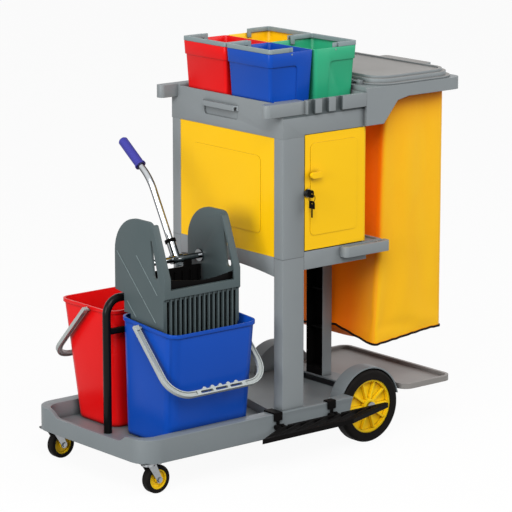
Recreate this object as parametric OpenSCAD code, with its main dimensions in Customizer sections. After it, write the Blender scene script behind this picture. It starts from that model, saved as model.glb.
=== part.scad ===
// Janitor cart: deck on wheels, cabinet with door, tool tray, waste bag and mop buckets with wringer.
// Millimetres, +X towards the bag, +Y away from the door side, +Z up, origin on the floor at mid length.

/* [Deck] */
// Length of the deck moulding
deck_l = 830; // [800:5:870]
// Width of the deck moulding
deck_w = 490; // [470:2:520]
// Radius of the deck's front corners
deck_r = 60; // [40:1:75]
// Height of the deck's underside above the floor
deck_bottom = 88; // [88:1:96]
// Height of the deck from underside to rail top
deck_h = 62; // [58:1:70]
// Width of the side rails
rail_w = 36; // [30:1:44]
// Wall of the mouldings
skin = 5; // [4:0.5:7]
// Bucket pan floor above the deck's underside
pan_h = 20; // [16:1:26]
// Rear floor above the deck's underside
rear_h = 44; // [38:1:50]
// Front lip above the deck's underside
lip_h = 44; // [36:1:50]
// Thickness of the front lip
lip_t = 12; // [8:1:18]
// Flat width of the scoop in the front lip
scoop_w = 250; // [200:5:280]
// Radius of the scoop's shoulders
scoop_r = 40; // [30:1:60]
// Length of the bucket pan at its middle
pan_l = 522; // [510:2:540]
// How much shorter the bucket pan is at its sides
pan_bow = 48; // [30:1:60]
// Height of the beam under the rear post, above the rear floor
beam_h = 20; // [12:1:30]
// Length of the beam under the rear post
beam_l = 56; // [56:1:64]

/* [Rear platform] */
// Length of the platform behind the deck
platform_l = 260; // [240:2:290]
// Width of the platform
platform_w = 448; // [400:2:470]
// Height of the platform's rim
platform_rim = 15; // [10:1:22]
// Width of the platform's rim
platform_rim_w = 9; // [6:1:14]
// Corner radius of the platform
platform_r = 30; // [15:1:45]

/* [Wheels] */
// Diameter of a rear wheel
wheel_d = 200; // [190:2:204]
// Width of a rear wheel
wheel_w = 40; // [30:1:46]
// Distance of the rear axle ahead of the deck's rear end
axle_back = 35; // [30:1:40]
// Outer face of a rear wheel from the mid plane
wheel_out = 212; // [206:1:220]
// Radius of the rear axle
axle_r = 8; // [6:0.5:10]
// Radial thickness of the tyre
tyre_t = 26; // [18:1:32]
// Ribs on a rear hub
hub_ribs = 10; // [6:1:14]
// Gap between tyre and fender
fender_gap = 4; // [3:0.5:8]
// Thickness of the fender
fender_t = 4; // [3:0.5:6]
// Diameter of a caster wheel
caster_d = 75; // [70:1:76]
// Width of a caster wheel
caster_w = 24; // [20:1:28]
// Swivel axis from the deck's front
caster_x = 40; // [36:1:60]
// Swivel axis from the mid plane
caster_y = 207; // [190:1:210]
// Trail of the caster wheel behind its swivel axis
caster_trail = 24; // [18:1:30]
// Side of the square caster plate
caster_plate = 56; // [50:1:64]
// Radius of a caster axle
caster_axle_r = 4; // [3:0.5:5]

/* [Posts and cabinet] */
// Front face of the front posts from the deck's front
post_x = 466; // [460:1:474]
// Depth of a front post, along the cart
post_l = 73; // [60:1:80]
// Width of a front post, across the cart
post_w = 36; // [30:1:42]
// Outer face of the posts inside the deck's side
post_inset = 13; // [8:1:20]
// Height of the front posts
post_h = 722; // [680:2:780]
// Wall of the posts
post_t = 3; // [2:0.5:5]
// Underside of the shelf above the rail
shelf_up = 369; // [340:2:400]
// Height of the shelf's beams
shelf_h = 48; // [40:1:60]
// Length of the shelf from the post face
shelf_l = 344; // [336:1:347]
// Reach of the side grips behind the shelf
grip_over = 12; // [4:1:30]
// Depth of the rear post, along the cart
rear_post_l = 34; // [28:1:38]
// Width of the rear post, across the cart
rear_post_w = 68; // [60:2:110]
// Length of the cabinet from the post face
cabinet_l = 290; // [280:2:292]
// Thickness of the cabinet panels
panel_t = 4; // [3:0.5:5]
// Thickness of the door
door_t = 6; // [5:0.5:8]
// Gap round the door
door_gap = 3; // [2:0.5:5]
// Radius of the door's hinge pins
door_pin_r = 2; // [1.5:0.25:2.25]
// Rise of the apron's arch
arch_rise = 14; // [8:1:30]
// Depth of the apron below the shelf's underside, at the posts
apron_drop = 14; // [6:1:40]

/* [Tray] */
// Length of the tray
tray_l = 296; // [296:1:310]
// Height of the tray
tray_h = 93; // [80:1:110]
// Tray floor above the tray's lower edge
tray_floor = 12; // [11:1:20]
// Height of the notched side rails
tool_rail_h = 36; // [30:1:44]
// Reach of the side rails outside the tray
tool_rail_w = 10; // [8:0.5:16]
// Reach of the front lugs ahead of the posts
lug_l = 56; // [40:1:60]
// Width of a tool notch
notch_w = 24; // [20:1:30]
// Distance between tool notches
notch_pitch = 47; // [42:1:52]
// Tool notches on each side
notches = 3; // [1:1:3]

/* [Bag] */
// Length of the bag frame
ring_l = 330; // [320:2:344]
// Height of the bag frame's ring
ring_h = 33; // [26:1:40]
// Distance of the bag from the ring's front
bag_front = 52; // [52:1:60]
// Distance of the bag from the ring's rear
bag_back = 22; // [20:1:34]
// Distance of the bag from the ring's sides
bag_side = 42; // [30:1:50]
// Hem of the bag inside the ring
bag_hem = 25; // [15:1:27]
// Height of the bag from its hem to its corners
bag_h = 702; // [600:2:720]
// Sag of the bag's bottom below its corners
bag_sag = 14; // [6:1:24]
// Wall of the bag
bag_t = 1.7; // [1:0.1:3]
// Height of the lid
lid_h = 23; // [16:1:30]
// Wall of the lid
lid_t = 3; // [2:0.5:5]
// Reach of the lid's lifting tab
tab_l = 28; // [20:1:40]
// Width of the lid's lifting tab
tab_w = 186; // [120:2:220]

/* [Small buckets] */
// Length of one small bucket's rim
pail_l = 151; // [140:0.5:152]
// Width of one small bucket's rim
pail_w = 182; // [160:1:190]
// Height of a small bucket
pail_h = 199; // [180:1:230]
// Height of the rim band
pail_band = 36; // [24:1:44]
// Step under the rim band
pail_step = 4; // [2:0.5:6]
// Draft from the band to the bottom, each side
pail_draft = 10; // [6:0.5:14]
// Wall of a small bucket
pail_t = 2.5; // [2:0.25:3]
// Thickness of a small bucket's bail
pail_bail_t = 11; // [7:0.5:13]
// Width of a small bucket's bail
pail_bail_w = 8; // [6:0.5:11]

/* [Mop buckets] */
// Length of a mop bucket's rim
mop_l = 293; // [280:1:300]
// Width of a mop bucket's rim
mop_w = 236; // [224:1:240]
// Height of a mop bucket
mop_h = 322; // [300:1:330]
// Distance of the mop buckets' rims from the deck's front
mop_x = 98; // [94:1:106]
// Distance of each rim from the divider's mid plane
mop_off = 14; // [13:0.5:18]
// Draft of the ends, from rim to bottom
mop_draft_x = 8; // [4:0.5:14]
// Draft of the blue bucket's outer side, from rim to bottom
blue_draft = 28; // [24:1:36]
// Draft of the red bucket's outer side, from rim to bottom
red_draft = 56; // [55:1:66]
// Width of the rolled rim
mop_rim = 8; // [6:0.5:9]
// Wall of a mop bucket
mop_t = 3; // [2.5:0.25:4]
// Corner radius of a mop bucket
mop_r = 30; // [24:1:45]
// Drop of the blue bucket's rim towards its outer side
rim_drop = 17; // [10:1:26]
// Reach of a mop bucket's bail from its pivot
bail_reach = 222; // [215:1:245]
// Thickness of a mop bucket's bail
bail_t = 10; // [8:0.5:14]
// Width of a bail's strap
bail_w = 15; // [12:0.5:20]
// Bail angle below level at rest
bail_rest = 46; // [30:1:56]
// Radius of a bail's pivots
bail_pin_r = 4; // [3:0.5:5]
// Divider's mid plane from the cart's mid plane
divider_y = 12; // [8:1:16]
// Diameter of the divider's tube
divider_d = 22; // [18:1:23]
// Height of the divider above the pan floor
divider_h = 368; // [356:2:374]
// Distance of the divider's legs outside the buckets' rims
divider_out = 22; // [20:1:30]
// Cross bar of the divider above the pan floor
divider_bar = 270; // [220:2:300]

/* [Wringer] */
// Length of the wringer over its cheeks
wringer_l = 248; // [240:1:254]
// Width of the wringer's lower body
wringer_w = 172; // [165:1:190]
// Thickness of a cheek
cheek_t = 8; // [6:0.5:10]
// Top of the cheeks above the pan floor
cheek_top = 577; // [560:1:590]
// Top of the ribbed wall above the pan floor
wringer_bar = 406; // [396:1:412]
// Shaft above the pan floor
shaft_up = 443; // [436:1:452]
// Shaft from the wringer's rear wall
shaft_in = 14; // [12:0.5:18]
// Radius of the shaft
shaft_r = 8; // [6:0.5:9]
// Length of the lever from shaft to bend
lever_l = 226; // [210:2:260]
// Lean of the lever
lever_lean = 29; // [15:1:35]
// Lean of the grip
grip_lean = 54; // [40:1:60]
// Length of the grip
grip_l = 98; // [80:1:120]
// Radius of the lever tube
lever_r = 9; // [7:0.5:10]
// Depth of the wringer's basket inside the bucket
basket_d = 60; // [40:1:70]
// Ribs on the wringer's near wall
wringer_ribs = 15; // [8:1:18]

/* [Tool rests] */
// Reach of a tool rest from its hinge
rest_w = 83; // [70:1:100]
// Length of a tool rest's outer edge
rest_l = 313; // [280:1:330]
// Reach of a tool rest ahead of the front posts
rest_lead = 154; // [140:1:170]
// Thickness of a tool rest
rest_t = 12; // [9:1:14]
// Radius of the rests' hinge pins
rest_pin_r = 4; // [3:0.5:5]
// Thickness of the deck's rail under the rear clips
rail_thin = 12; // [8:1:20]
// Width of a rest clip
clip_w = 27; // [24:1:30]

/* [Fits] */
// Running clearance of pins and shafts, on radius
run = 0.05; // [0.02:0.01:0.1]
// Gap between faces that pass each other
pass = 0.4; // [0.3:0.05:0.6]

/* [Hidden] */
$fn = 48;
eps = 0.01;
rail_top = deck_bottom + deck_h;
pan_z = deck_bottom + pan_h;
rear_z = deck_bottom + rear_h;
lip_z = deck_bottom + lip_h;
beam_z = rear_z + beam_h;
half_w = deck_w/2;
axle_x = deck_l - axle_back;
rail_y = half_w - rail_w;
wheel_r = wheel_d/2;
axle_z = wheel_r;
well_r = wheel_r + fender_gap;
fender_r = well_r + fender_t;
wheel_in = wheel_out - wheel_w;
well_in = wheel_in - 7;
post_out = half_w - post_inset;
post_in = post_out - post_w;
post_x1 = post_x + post_l;
tray_z = rail_top + post_h;
tray_top = tray_z + tray_h;
tray_x1 = post_x + tray_l;
floor_z = tray_z + tray_floor;
floor_t = 4;
well_z = floor_z + floor_t;
shelf_z = rail_top + shelf_up;
shelf_top = shelf_z + shelf_h;
shelf_x1 = post_x + shelf_l;
plate_z = shelf_top - 10;
plate_top = plate_z + skin;
cab_x1 = post_x + cabinet_l;
beam_t = 6;
side_in = post_out - beam_t;
hinge_x = cab_x1 - 10;
hinge_y = -(post_out - door_t/2);
ring_x = tray_x1;
ring_x1 = ring_x + ring_l;
ring_y = post_out + tool_rail_w;
ring_top = tray_top + 13;
ring_z = ring_top - ring_h;
cart_l = ring_x1 + tab_l;
arm_z = floor_z - 5;
door_z0 = shelf_top + door_gap;
door_z1 = arm_z - door_gap;
tray_side_z = door_z1 + door_gap/2;
hand_y = 22;
hand_half = 70;
bag_gap = 4;
bag_x0 = max(ring_x + bag_front, shelf_x1 + bag_gap);
bag_x1 = ring_x1 - bag_back;
bag_y = ring_y - bag_side;
bag_top = ring_top - skin - 2;
bag_low = bag_top - bag_h;
rest_z = deck_bottom + 28;
rest_y = half_w + 7;
base_x = [post_x - 10, post_x1 + 10];
clip_room = axle_x - fender_r - base_x[1] - clip_w;
clip_x = [base_x[0] - 4 - clip_w, base_x[1] + 0.56*clip_room];
wringer_x = mop_x + (mop_l - wringer_l)/2 - 7;
wringer_y0 = divider_y - mop_off - mop_rim - mop_t - 1;
wringer_y1 = wringer_y0 - wringer_w;
shaft_y = wringer_y0 - shaft_in;
shaft_z = pan_z + shaft_up;
lever_x = wringer_x + 161;
pail_x0 = (post_x + tray_x1)/2 - pail_l;
lock_x = post_x1 + 9;
lock_z = shelf_top + 156;
lid_x0 = ring_x + 28;
lid_pin_x = lid_x0 - 6;
lid_pin_r = 3;
lid_pin_z = ring_top + 6;
ear_y = ring_y - 72;
ear_w = 14;
key_y = hinge_y - door_t/2 - 6;
key_hole = 14;
key_hole_r = 3;
key_ring_r = 10.5;
key_wire_r = 0.9;
key_hang = key_hole_r - key_wire_r - pass;
basket_z = pan_z + mop_h - basket_d;
divider_top = pan_z + divider_h;
bar_z = pan_z + wringer_bar;
bar_h = 21;
recess = 6;
band_w = 12;
band_t = 7;
strainer_in = recess + 8;
socket_l = 46;
lever_bend = 150;
caster_top = deck_bottom - 3;
cup_z = caster_top - 4.5;
fork_top = cup_z - pass;
king_r = 5;
caster_c = caster_d/2;
pail_pin_r = 2.5;
pail_pin_z = pail_h - 6;

GREY = "#878d90";
DARK = "#1e1c1c";
SLATE = "#505c5e";
YELLOW = "#fac81e";
BAG = "#f5b923";
RED = "#d71a1a";
BLUE = "#1f4cb2";
GREEN = "#30aa7d";
PALE = "#bec3be";
STEEL = "#b9bdc0";
GRIP = "#40409b";

// Places children, drawn from the deck's front face, in the cart's own frame
module cart(c) translate([-cart_l/2, 0, 0]) color(c) children();

// Block between two corners
module block(a, b) translate(a) cube(b - a);

// Rectangle between two corners with round corners
module rounded(a, b, r) {
    translate([a.x + r, a.y]) square([b.x - a.x - 2*r, b.y - a.y]);
    translate([a.x, a.y + r]) square([b.x - a.x, b.y - a.y - 2*r]);
    for (x = [a.x + r, b.x - r], y = [a.y + r, b.y - r]) translate([x, y]) circle(r);
}

// Prism over a rounded rectangle
module slab(a, b, r, z0, z1) translate([0, 0, z0]) linear_extrude(z1 - z0) rounded(a, b, r);

// Cylinder along X or Y, from one end to the other
module rod_x(r, x0, x1, y, z) translate([x0, y, z]) rotate([0, 90, 0]) cylinder(r = r, h = x1 - x0);
module rod_y(r, y0, y1, x, z) translate([x, y1, z]) rotate([90, 0, 0]) cylinder(r = r, h = y1 - y0);

// Extrusions of outlines drawn in (x, z) and in (y, z)
module side_plate(y0, y1) translate([0, y1, 0]) rotate([90, 0, 0]) linear_extrude(y1 - y0) children();
module cross_plate(x0, x1) translate([x0, 0, 0]) rotate([90, 0, 90]) linear_extrude(x1 - x0) children();

// Children on both sides of the mid plane
module both() {
    children();
    mirror([0, 1, 0]) children();
}

function arc(c, r, a0, a1, n = 10) =
    [for (i = [0:n]) let (a = a0 + (a1 - a0)*i/n) c + r*[cos(a), sin(a)]];

// Deck outline: round at the front, square at the rear
module deck_outline(inset) {
    rounded([inset, -half_w + inset], [deck_l - deck_r, half_w - inset], deck_r - inset);
    translate([deck_r, -half_w + inset]) square([deck_l - deck_r - inset, deck_w - 2*inset]);
}

// Dip in the front lip, seen from the front
module scoop() {
    s = scoop_w/2;
    a = acos(1 - min(0.95, (rail_top - lip_z + 1)/(2*scoop_r)));
    w = s + 2*scoop_r*sin(a);
    right = concat(arc([s, lip_z + scoop_r], scoop_r, 270, 270 + a),
        arc([w, rail_top + 1 - scoop_r], scoop_r, 90 + a, 90));
    polygon(concat(right, [for (i = [len(right) - 1:-1:0]) [-right[i].x, right[i].y]]));
}

// Rear of the bucket pan in plan: its step reaches further back in the middle than at the rails
module pan_rear() {
    side = pan_l - pan_bow;
    polygon([[side - deck_r, -rail_y], [side, -rail_y], [pan_l, 0], [side, rail_y], [side - deck_r, rail_y]]);
}

module base_deck() cart(GREY) difference() {
    union() {
        difference() {
            translate([0, 0, deck_bottom]) linear_extrude(deck_h) deck_outline(0);
            slab([lip_t, -rail_y], [pan_l - pan_bow, rail_y], deck_r - lip_t, pan_z, rail_top + 1);
            translate([0, 0, pan_z]) linear_extrude(rail_top + 1 - pan_z) pan_rear();
            block([pan_l - pan_bow - 1, -rail_y, rear_z], [deck_l + 1, rail_y, rail_top + 1]);
            cross_plate(-1, lip_t + deck_r/2) scoop();
        }
        both() block([base_x[0], post_in - 4, rear_z - skin], [base_x[1], half_w - 1, rail_top]);
        block([deck_l - beam_l, -well_in, rear_z - 1], [deck_l, well_in, beam_z]);
        both() rod_y(fender_r, well_in - 5, wheel_out - 6, axle_x, axle_z);
    }
    // Thin rail behind each front post, where the rear clips sit
    both() block([base_x[1], rail_y - 1, rear_z], [clip_x[1] + clip_w + 6, half_w - rail_thin, rail_top + 1]);
    // Hollow underside, with pads left over the casters and cheeks left round the axle
    difference() {
        translate([0, 0, deck_bottom - 1]) linear_extrude(pan_h - skin + 1) deck_outline(skin);
        both() translate([caster_x, caster_y]) cylinder(r = caster_plate*0.75, h = rail_top);
        block([pan_l - skin, -half_w, 0], [deck_l, half_w, rail_top]);
    }
    both() block([deck_r + 40, rail_y + skin, deck_bottom - 1],
        [post_x - 14, half_w - skin, rail_top - skin]);
    block([pan_l + skin, -rail_y, deck_bottom - 1], [deck_l - beam_l - skin, rail_y, rear_z - skin]);
    block([deck_l - beam_l, -well_in + 30, deck_bottom - 1], [deck_l - skin, well_in - 30, beam_z - skin]);
    // Wheel wells and the fenders' lower limit
    both() rod_y(well_r, well_in, half_w + 1, axle_x, axle_z);
    both() block([deck_l, well_in - 6, 0], [axle_x + fender_r + 1, half_w + 1, rear_z - 12]);
    block([axle_x - fender_r - 1, -half_w, -wheel_r], [axle_x + fender_r + 1, half_w, deck_bottom]);
    rod_y(axle_r + run, -half_w, half_w, axle_x, axle_z);
}

module rear_platform() cart(GREY) {
    x0 = deck_l;
    x1 = deck_l + platform_l;
    xw = axle_x + fender_r + 6;
    neck = well_in - 6;
    z0 = rear_z - 4;
    difference() {
        union() {
            slab([xw, -platform_w/2], [x1, platform_w/2], platform_r, z0, z0 + platform_rim);
            block([x0, -neck, z0], [xw + platform_r + 1, neck, z0 + platform_rim]);
        }
        slab([xw + platform_rim_w, -platform_w/2 + platform_rim_w],
            [x1 - platform_rim_w, platform_w/2 - platform_rim_w], platform_r - platform_rim_w,
            z0 + skin, z0 + platform_rim + 1);
        block([x0 + skin, -neck + platform_rim_w, z0 + skin],
            [xw + platform_r + 1, neck - platform_rim_w, z0 + platform_rim + 1]);
    }
    difference() {
        block([x0, -neck, deck_bottom], [x0 + skin, neck, z0 + 1]);
        for (y = [-1, 1]*neck*0.6) rod_x(4 + run, x0 - 1, x0 + skin + 1, y, z0 - 18);
    }
}

module platform_bolts() cart(STEEL) {
    neck = well_in - 6;
    for (y = [-1, 1]*neck*0.6) {
        rod_x(4, deck_l, deck_l + skin + 1, y, rear_z - 22);
        translate([deck_l + skin, y, rear_z - 22]) rotate([0, 90, 0]) cylinder(r = 7, h = 5, $fn = 6);
    }
}

// Front post: a tube with a seam groove round it, and a slot for the lock's cam where there is a lock
module front_post(lock) difference() {
    z1 = tray_z;
    groove = 0.8;
    block([post_x, post_in, rail_top], [post_x1, post_out, z1]);
    block([post_x + post_t, post_in + post_t, rail_top - 1], [post_x1 - post_t, post_out - post_t, z1 + 1]);
    translate([0, 0, plate_z - 3]) difference() {
        block([post_x - 1, post_in - 1, 0], [post_x1 + 1, post_out + 1, groove]);
        block([post_x + groove, post_in + groove, -1], [post_x1 - groove, post_out - groove, 2]);
    }
    if (lock)
        block([post_x1 - post_t - 1, side_in - 9, lock_z - 26], [post_x1 + 1, side_in + 0.5, lock_z + 9]);
}

module front_post_right() cart(GREY) mirror([0, 1, 0]) front_post(true);
module front_post_left() cart(GREY) front_post(false);

// Rear post: a channel open towards the buckets, with ribs across it
module rear_post() cart(GREY) {
    x1 = min(shelf_x1, deck_l);
    x0 = x1 - rear_post_l;
    w = rear_post_w/2;
    difference() {
        block([x0, -w, beam_z], [x1, w, shelf_z]);
        block([x0 - 1, -w + post_t, beam_z + 20], [x1 - post_t, w - post_t, shelf_z - 20]);
    }
    n = 2;
    for (i = [1:n]) translate([0, 0, beam_z + 20 + i*(shelf_z - beam_z - 40)/(n + 1)])
        block([x0 + 10, -w + post_t, 0], [x1 - post_t, w - post_t, 4]);
}

// Long grip along the shelf's side, hollow below, with a hanging slot at its end
module shelf_grip() {
    x0 = post_x1 + 125;
    x1 = shelf_x1 + grip_over;
    y1 = post_out + 25;
    z0 = shelf_z + 18;
    difference() {
        slab([x0, post_out - 14], [x1, y1], 12, z0, shelf_top - 2);
        block([x0 - 1, post_out - 15, z0 - 1], [x1 + 1, post_out, shelf_top]);
        slab([x0 + 4, post_out - 14], [x1 - 4, y1 - 4], 9, z0 - 1, shelf_top - 6);
        slab([x1 - 32, post_out + 3], [x1 - 8, post_out + 15], 5, z0, shelf_top);
        slab([x0 + 14, post_out + 3], [x1 - 40, y1 - 5], 6, shelf_top - 4, shelf_top);
    }
}

module cabinet_shelf() cart(GREY) {
    a = post_in;
    r = (a*a + arch_rise*arch_rise)/(2*arch_rise);
    half = asin(a/r);
    z_end = shelf_z - apron_drop;
    difference() {
        union() {
            cross_plate(post_x, post_x + beam_t) polygon(concat([[-a, plate_z], [a, plate_z]],
                reverse_points(arc([0, z_end + arch_rise - r], r, 90 + half, 90 - half, 24))));
            block([post_x + beam_t - 1, -a, plate_z - skin], [post_x1, a, plate_top]);
            block([post_x1, -post_out, plate_z], [shelf_x1, post_out, plate_top]);
            both() block([post_x1, side_in, shelf_z + 18], [shelf_x1, post_out, shelf_top]);
            both() block([post_x1, side_in, shelf_z], [cab_x1, post_out, shelf_z + 18]);
            block([shelf_x1 - beam_t, -side_in, shelf_z + 18], [shelf_x1, side_in, shelf_top]);
            block([min(shelf_x1, deck_l) - rear_post_l - 4, -rear_post_w/2 - 4, shelf_z],
                [shelf_x1, rear_post_w/2 + 4, plate_z]);
            for (x = [post_x1 + 60, post_x1 + 150])
                block([x, -side_in, shelf_z + 18], [x + 4, side_in, plate_z]);
            both() shelf_grip();
        }
        translate([hinge_x, hinge_y, shelf_z + 26]) cylinder(r = door_pin_r + run, h = shelf_h);
    }
}

function reverse_points(p) = [for (i = [len(p) - 1:-1:0]) p[i]];

// Raised round-cornered panel on a flat one, both drawn in their own plane
module embossed(a, b, t, inset, r, lift) {
    linear_extrude(t) translate(a) square(b - a);
    translate([0, 0, t]) linear_extrude(lift) rounded(a + [1, 1]*inset, b - [1, 1]*inset, r);
}

module front_panel() cart(YELLOW) {
    x1 = post_x + beam_t - 1;
    translate([x1, 0, 0]) rotate([90, 0, -90])
        embossed([-post_in + pass, plate_z], [post_in - pass, tray_z], panel_t, 55, 14, 1.5);
}

module left_panel() cart(YELLOW) translate([0, side_in, 0]) rotate([90, 0, 180])
    embossed([-cab_x1 + panel_t, shelf_top], [-post_x1, tray_side_z], panel_t, 24, 14, 1.5);

module back_panel() cart(YELLOW)
    block([cab_x1 - panel_t, -side_in, plate_top], [cab_x1, side_in, floor_z]);

module cabinet_door() cart(YELLOW) {
    x0 = post_x1 + 2;
    z0 = door_z0;
    z1 = door_z1;
    e = door_t/2;
    difference() {
        union() {
            block([x0, hinge_y - e, z0], [hinge_x, hinge_y + e, z1]);
            translate([hinge_x, hinge_y, z0]) cylinder(r = e, h = z1 - z0);
            translate([0, hinge_y - e, 0]) rotate([90, 0, 0]) translate([0, 0, -0.5])
                linear_extrude(2) rounded([x0 + 18, z0 + 38], [hinge_x - 26, z1 - 24], 14);
        }
        for (z = [z0 - 1, z1 - 18]) translate([hinge_x, hinge_y, z]) cylinder(r = door_pin_r + run, h = 19);
        rod_y(9 + run, hinge_y - e - 2, hinge_y + e + 1, lock_x, lock_z);
    }
}

module door_hinge_pins() cart(STEEL) {
    translate([hinge_x, hinge_y, shelf_z + 28]) cylinder(r = door_pin_r, h = door_z0 + 16 - shelf_z - 28);
    translate([hinge_x, hinge_y, door_z1 - 16]) cylinder(r = door_pin_r, h = 36);
}

module door_pull() cart(YELLOW) {
    y0 = hinge_y - door_t/2 - 1.5;
    z = lock_z + 47;
    translate([0, y0, 0]) rotate([90, 0, 0]) {
        linear_extrude(9) rounded([post_x1 + 16, z - 4], [post_x1 + 44, z + 4], 3.9);
        translate([0, 0, 9]) linear_extrude(7) rounded([post_x1 + 11, z - 8], [post_x1 + 49, z + 8], 7.9);
    }
}

module lock_barrel() cart(STEEL) difference() {
    y0 = hinge_y - door_t/2;
    union() {
        rod_y(9, y0 - 1.5, hinge_y + door_t/2 + 4, lock_x, lock_z);
        rod_y(11, y0 - 5, y0 - 1.5, lock_x, lock_z);
    }
    rod_y(5 + run, y0 - 6, hinge_y + door_t/2 + 5, lock_x, lock_z);
}

// Plug that turns in the barrel, with the cam that reaches into the post
module lock_plug() cart(STEEL) {
    y0 = hinge_y - door_t/2;
    y1 = hinge_y + door_t/2 + 4;
    difference() {
        rod_y(5, y0 - 5.5, y1 + 1, lock_x, lock_z);
        block([lock_x - 0.8, y0 - 6, lock_z - 3], [lock_x + 0.8, y0 + 4, lock_z + 3]);
    }
    difference() {
        block([lock_x - 6, y1 + 1, lock_z - 22], [lock_x + 6, y1 + 3, lock_z + 6]);
        block([lock_x - 7, y1, lock_z - 30], [lock_x - 5, y1 + 4, lock_z - 16]);
    }
}

// Flat key: blade along +Y from its head, hole across the head for the ring
module flat_key(blade) {
    block([-0.7, -1, -2.5], [0.7, blade, 2.5]);
    difference() {
        block([-1.5, -20, -10], [1.5, 0, 10]);
        rod_x(key_hole_r, -2, 2, -key_hole, 0);
        for (s = [-1, 1]) translate([0, -20, s*10]) rotate([45, 0, 0]) cube([4, 5, 5], center = true);
    }
}

module door_key() cart(DARK) translate([lock_x, key_y, lock_z]) flat_key(9);

// Ring through the key's head and the second key that hangs from it
module spare_key() cart(DARK) translate([lock_x, key_y - key_hole, lock_z - key_hang]) {
    translate([0, 0, -key_ring_r]) rotate([90, 0, 0]) rotate_extrude()
        translate([key_ring_r, 0]) circle(key_wire_r);
    translate([0, 0, -2*key_ring_r - key_hang - key_hole]) rotate([-90, 0, 0]) flat_key(24);
}

// Side rail of the tray: a bar with a round nose ahead of the post and notches for tool handles
module tool_rail() {
    z0 = tray_top - tool_rail_h + 3;
    difference() {
        union() {
            slab([post_x - lug_l, post_out - 26], [post_x + 20, post_out + 2], 13, z0, tray_top + 1);
            block([post_x, post_in, z0], [post_x1, post_out + 2, tray_top + 1]);
            block([post_x1 - 1, post_out - 2, z0], [cab_x1 - 11, post_out + tool_rail_w, tray_top + 3]);
        }
        for (i = [0:notches - 1]) translate([post_x1 + 4 + i*notch_pitch, post_out, z0 - 1])
            cube([notch_w, tool_rail_w + 1, tool_rail_h + 5]);
        slab([post_x - lug_l + 5, post_out - 21], [post_x - 6, post_out - 3], 8, z0 - 1, tray_top - 4);
    }
}

module top_tray() cart(GREY) {
    hole = [[-hand_half, tray_z + 28], [hand_half, tray_z + 58]];
    back_t = 2;
    difference() {
        union() {
            block([post_x, -post_in, tray_z], [post_x + floor_t, post_in, tray_top - 3]);
            both() block([post_x1, side_in, tray_side_z], [tray_x1, post_out, tray_top]);
            block([tray_x1 - floor_t, -side_in, floor_z], [tray_x1, side_in, tray_top]);
            block([post_x, -post_in, floor_z], [post_x1, post_in, well_z]);
            block([post_x1 - 1, -side_in, floor_z], [tray_x1, side_in, well_z]);
            both() difference() {
                block([post_x, post_in, tray_z], [post_x1, post_out, tray_top]);
                block([post_x + floor_t, post_in + floor_t, tray_z - 1],
                    [post_x1 - floor_t, post_out - floor_t, tray_top - floor_t]);
            }
            both() tool_rail();
            translate([0, hand_y, 0]) hand_grip(12);
            translate([0, hand_y, 0]) slab_x(post_x + floor_t - 1, post_x + floor_t + back_t,
                hole[0] - [4, 4], hole[1] + [4, 4], 8);
        }
        translate([0, hand_y, 0]) slab_x(post_x - 1, post_x + floor_t, hole[0], hole[1], 8);
        translate([hinge_x, hinge_y, tray_side_z - 1]) cylinder(r = door_pin_r + run, h = 24);
    }
}

// Round-cornered cut or plate drawn in (y, z)
module slab_x(x0, x1, a, b, r) cross_plate(x0, x1) rounded(a, b, r);

// Lip over the hand hole in the tray's front wall
module hand_grip(reach) difference() {
    y = hand_half + 4;
    block([post_x - reach, -y, tray_z + 52], [post_x, y, tray_z + 66]);
    block([post_x - reach + 3, -hand_half, tray_z + 51], [post_x + 1, hand_half, tray_z + 62]);
    for (s = [-1, 1]) translate([post_x - reach, s*y, tray_z + 50]) rotate([0, 0, 45])
        cube([16, 16, 60], center = true);
}

// Frame that carries the bag: ring with a skirt outside and a lip inside, and an arm on each side of the tray
module bag_frame() cart(GREY) {
    mouth0 = [bag_x0 + bag_t + pass + skin, -bag_y + bag_t + pass + skin];
    mouth1 = [bag_x1 - bag_t - pass - skin, bag_y - bag_t - pass - skin];
    arm_x1 = ring_x + 94;
    difference() {
        slab([ring_x, -ring_y], [ring_x1, ring_y], 28, ring_z, ring_top);
        difference() {
            slab([ring_x + skin, -ring_y + skin], [ring_x1 - skin, ring_y - skin], 23,
                ring_z - 1, ring_top - skin);
            slab(mouth0 - [1, 1]*skin, mouth1 + [1, 1]*skin, 14, ring_top - bag_hem - skin, ring_top);
        }
        slab(mouth0, mouth1, 9, ring_z - 1, ring_top + 1);
    }
    both() side_plate(post_out + pass, ring_y) polygon([[cab_x1 - 11 + pass, arm_z], [ring_x + 45, arm_z],
        [arm_x1, ring_z - 8], [arm_x1 + 40, ring_z], [arm_x1 + 40, ring_z + 4], [ring_x + 28, ring_z + 4],
        [ring_x + 28, ring_top], [cab_x1 - 11 + pass, ring_top]]);
    for (y = [-1, 0, 1]*ear_y) lid_ear(y, ear_w);
}

// Ear that holds the lid's hinge pin
module lid_ear(y, w) difference() {
    union() {
        rod_y(6, y - w/2, y + w/2, lid_pin_x, lid_pin_z);
        block([lid_pin_x - 6, y - w/2, ring_top - 1], [lid_pin_x + 6, y + w/2, lid_pin_z]);
    }
    rod_y(lid_pin_r + run, y - w/2 - 1, y + w/2 + 1, lid_pin_x, lid_pin_z);
}

module lid_hinge_pins() cart(STEEL) rod_y(lid_pin_r, -ear_y - ear_w/2, ear_y + ear_w/2, lid_pin_x, lid_pin_z);

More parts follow.
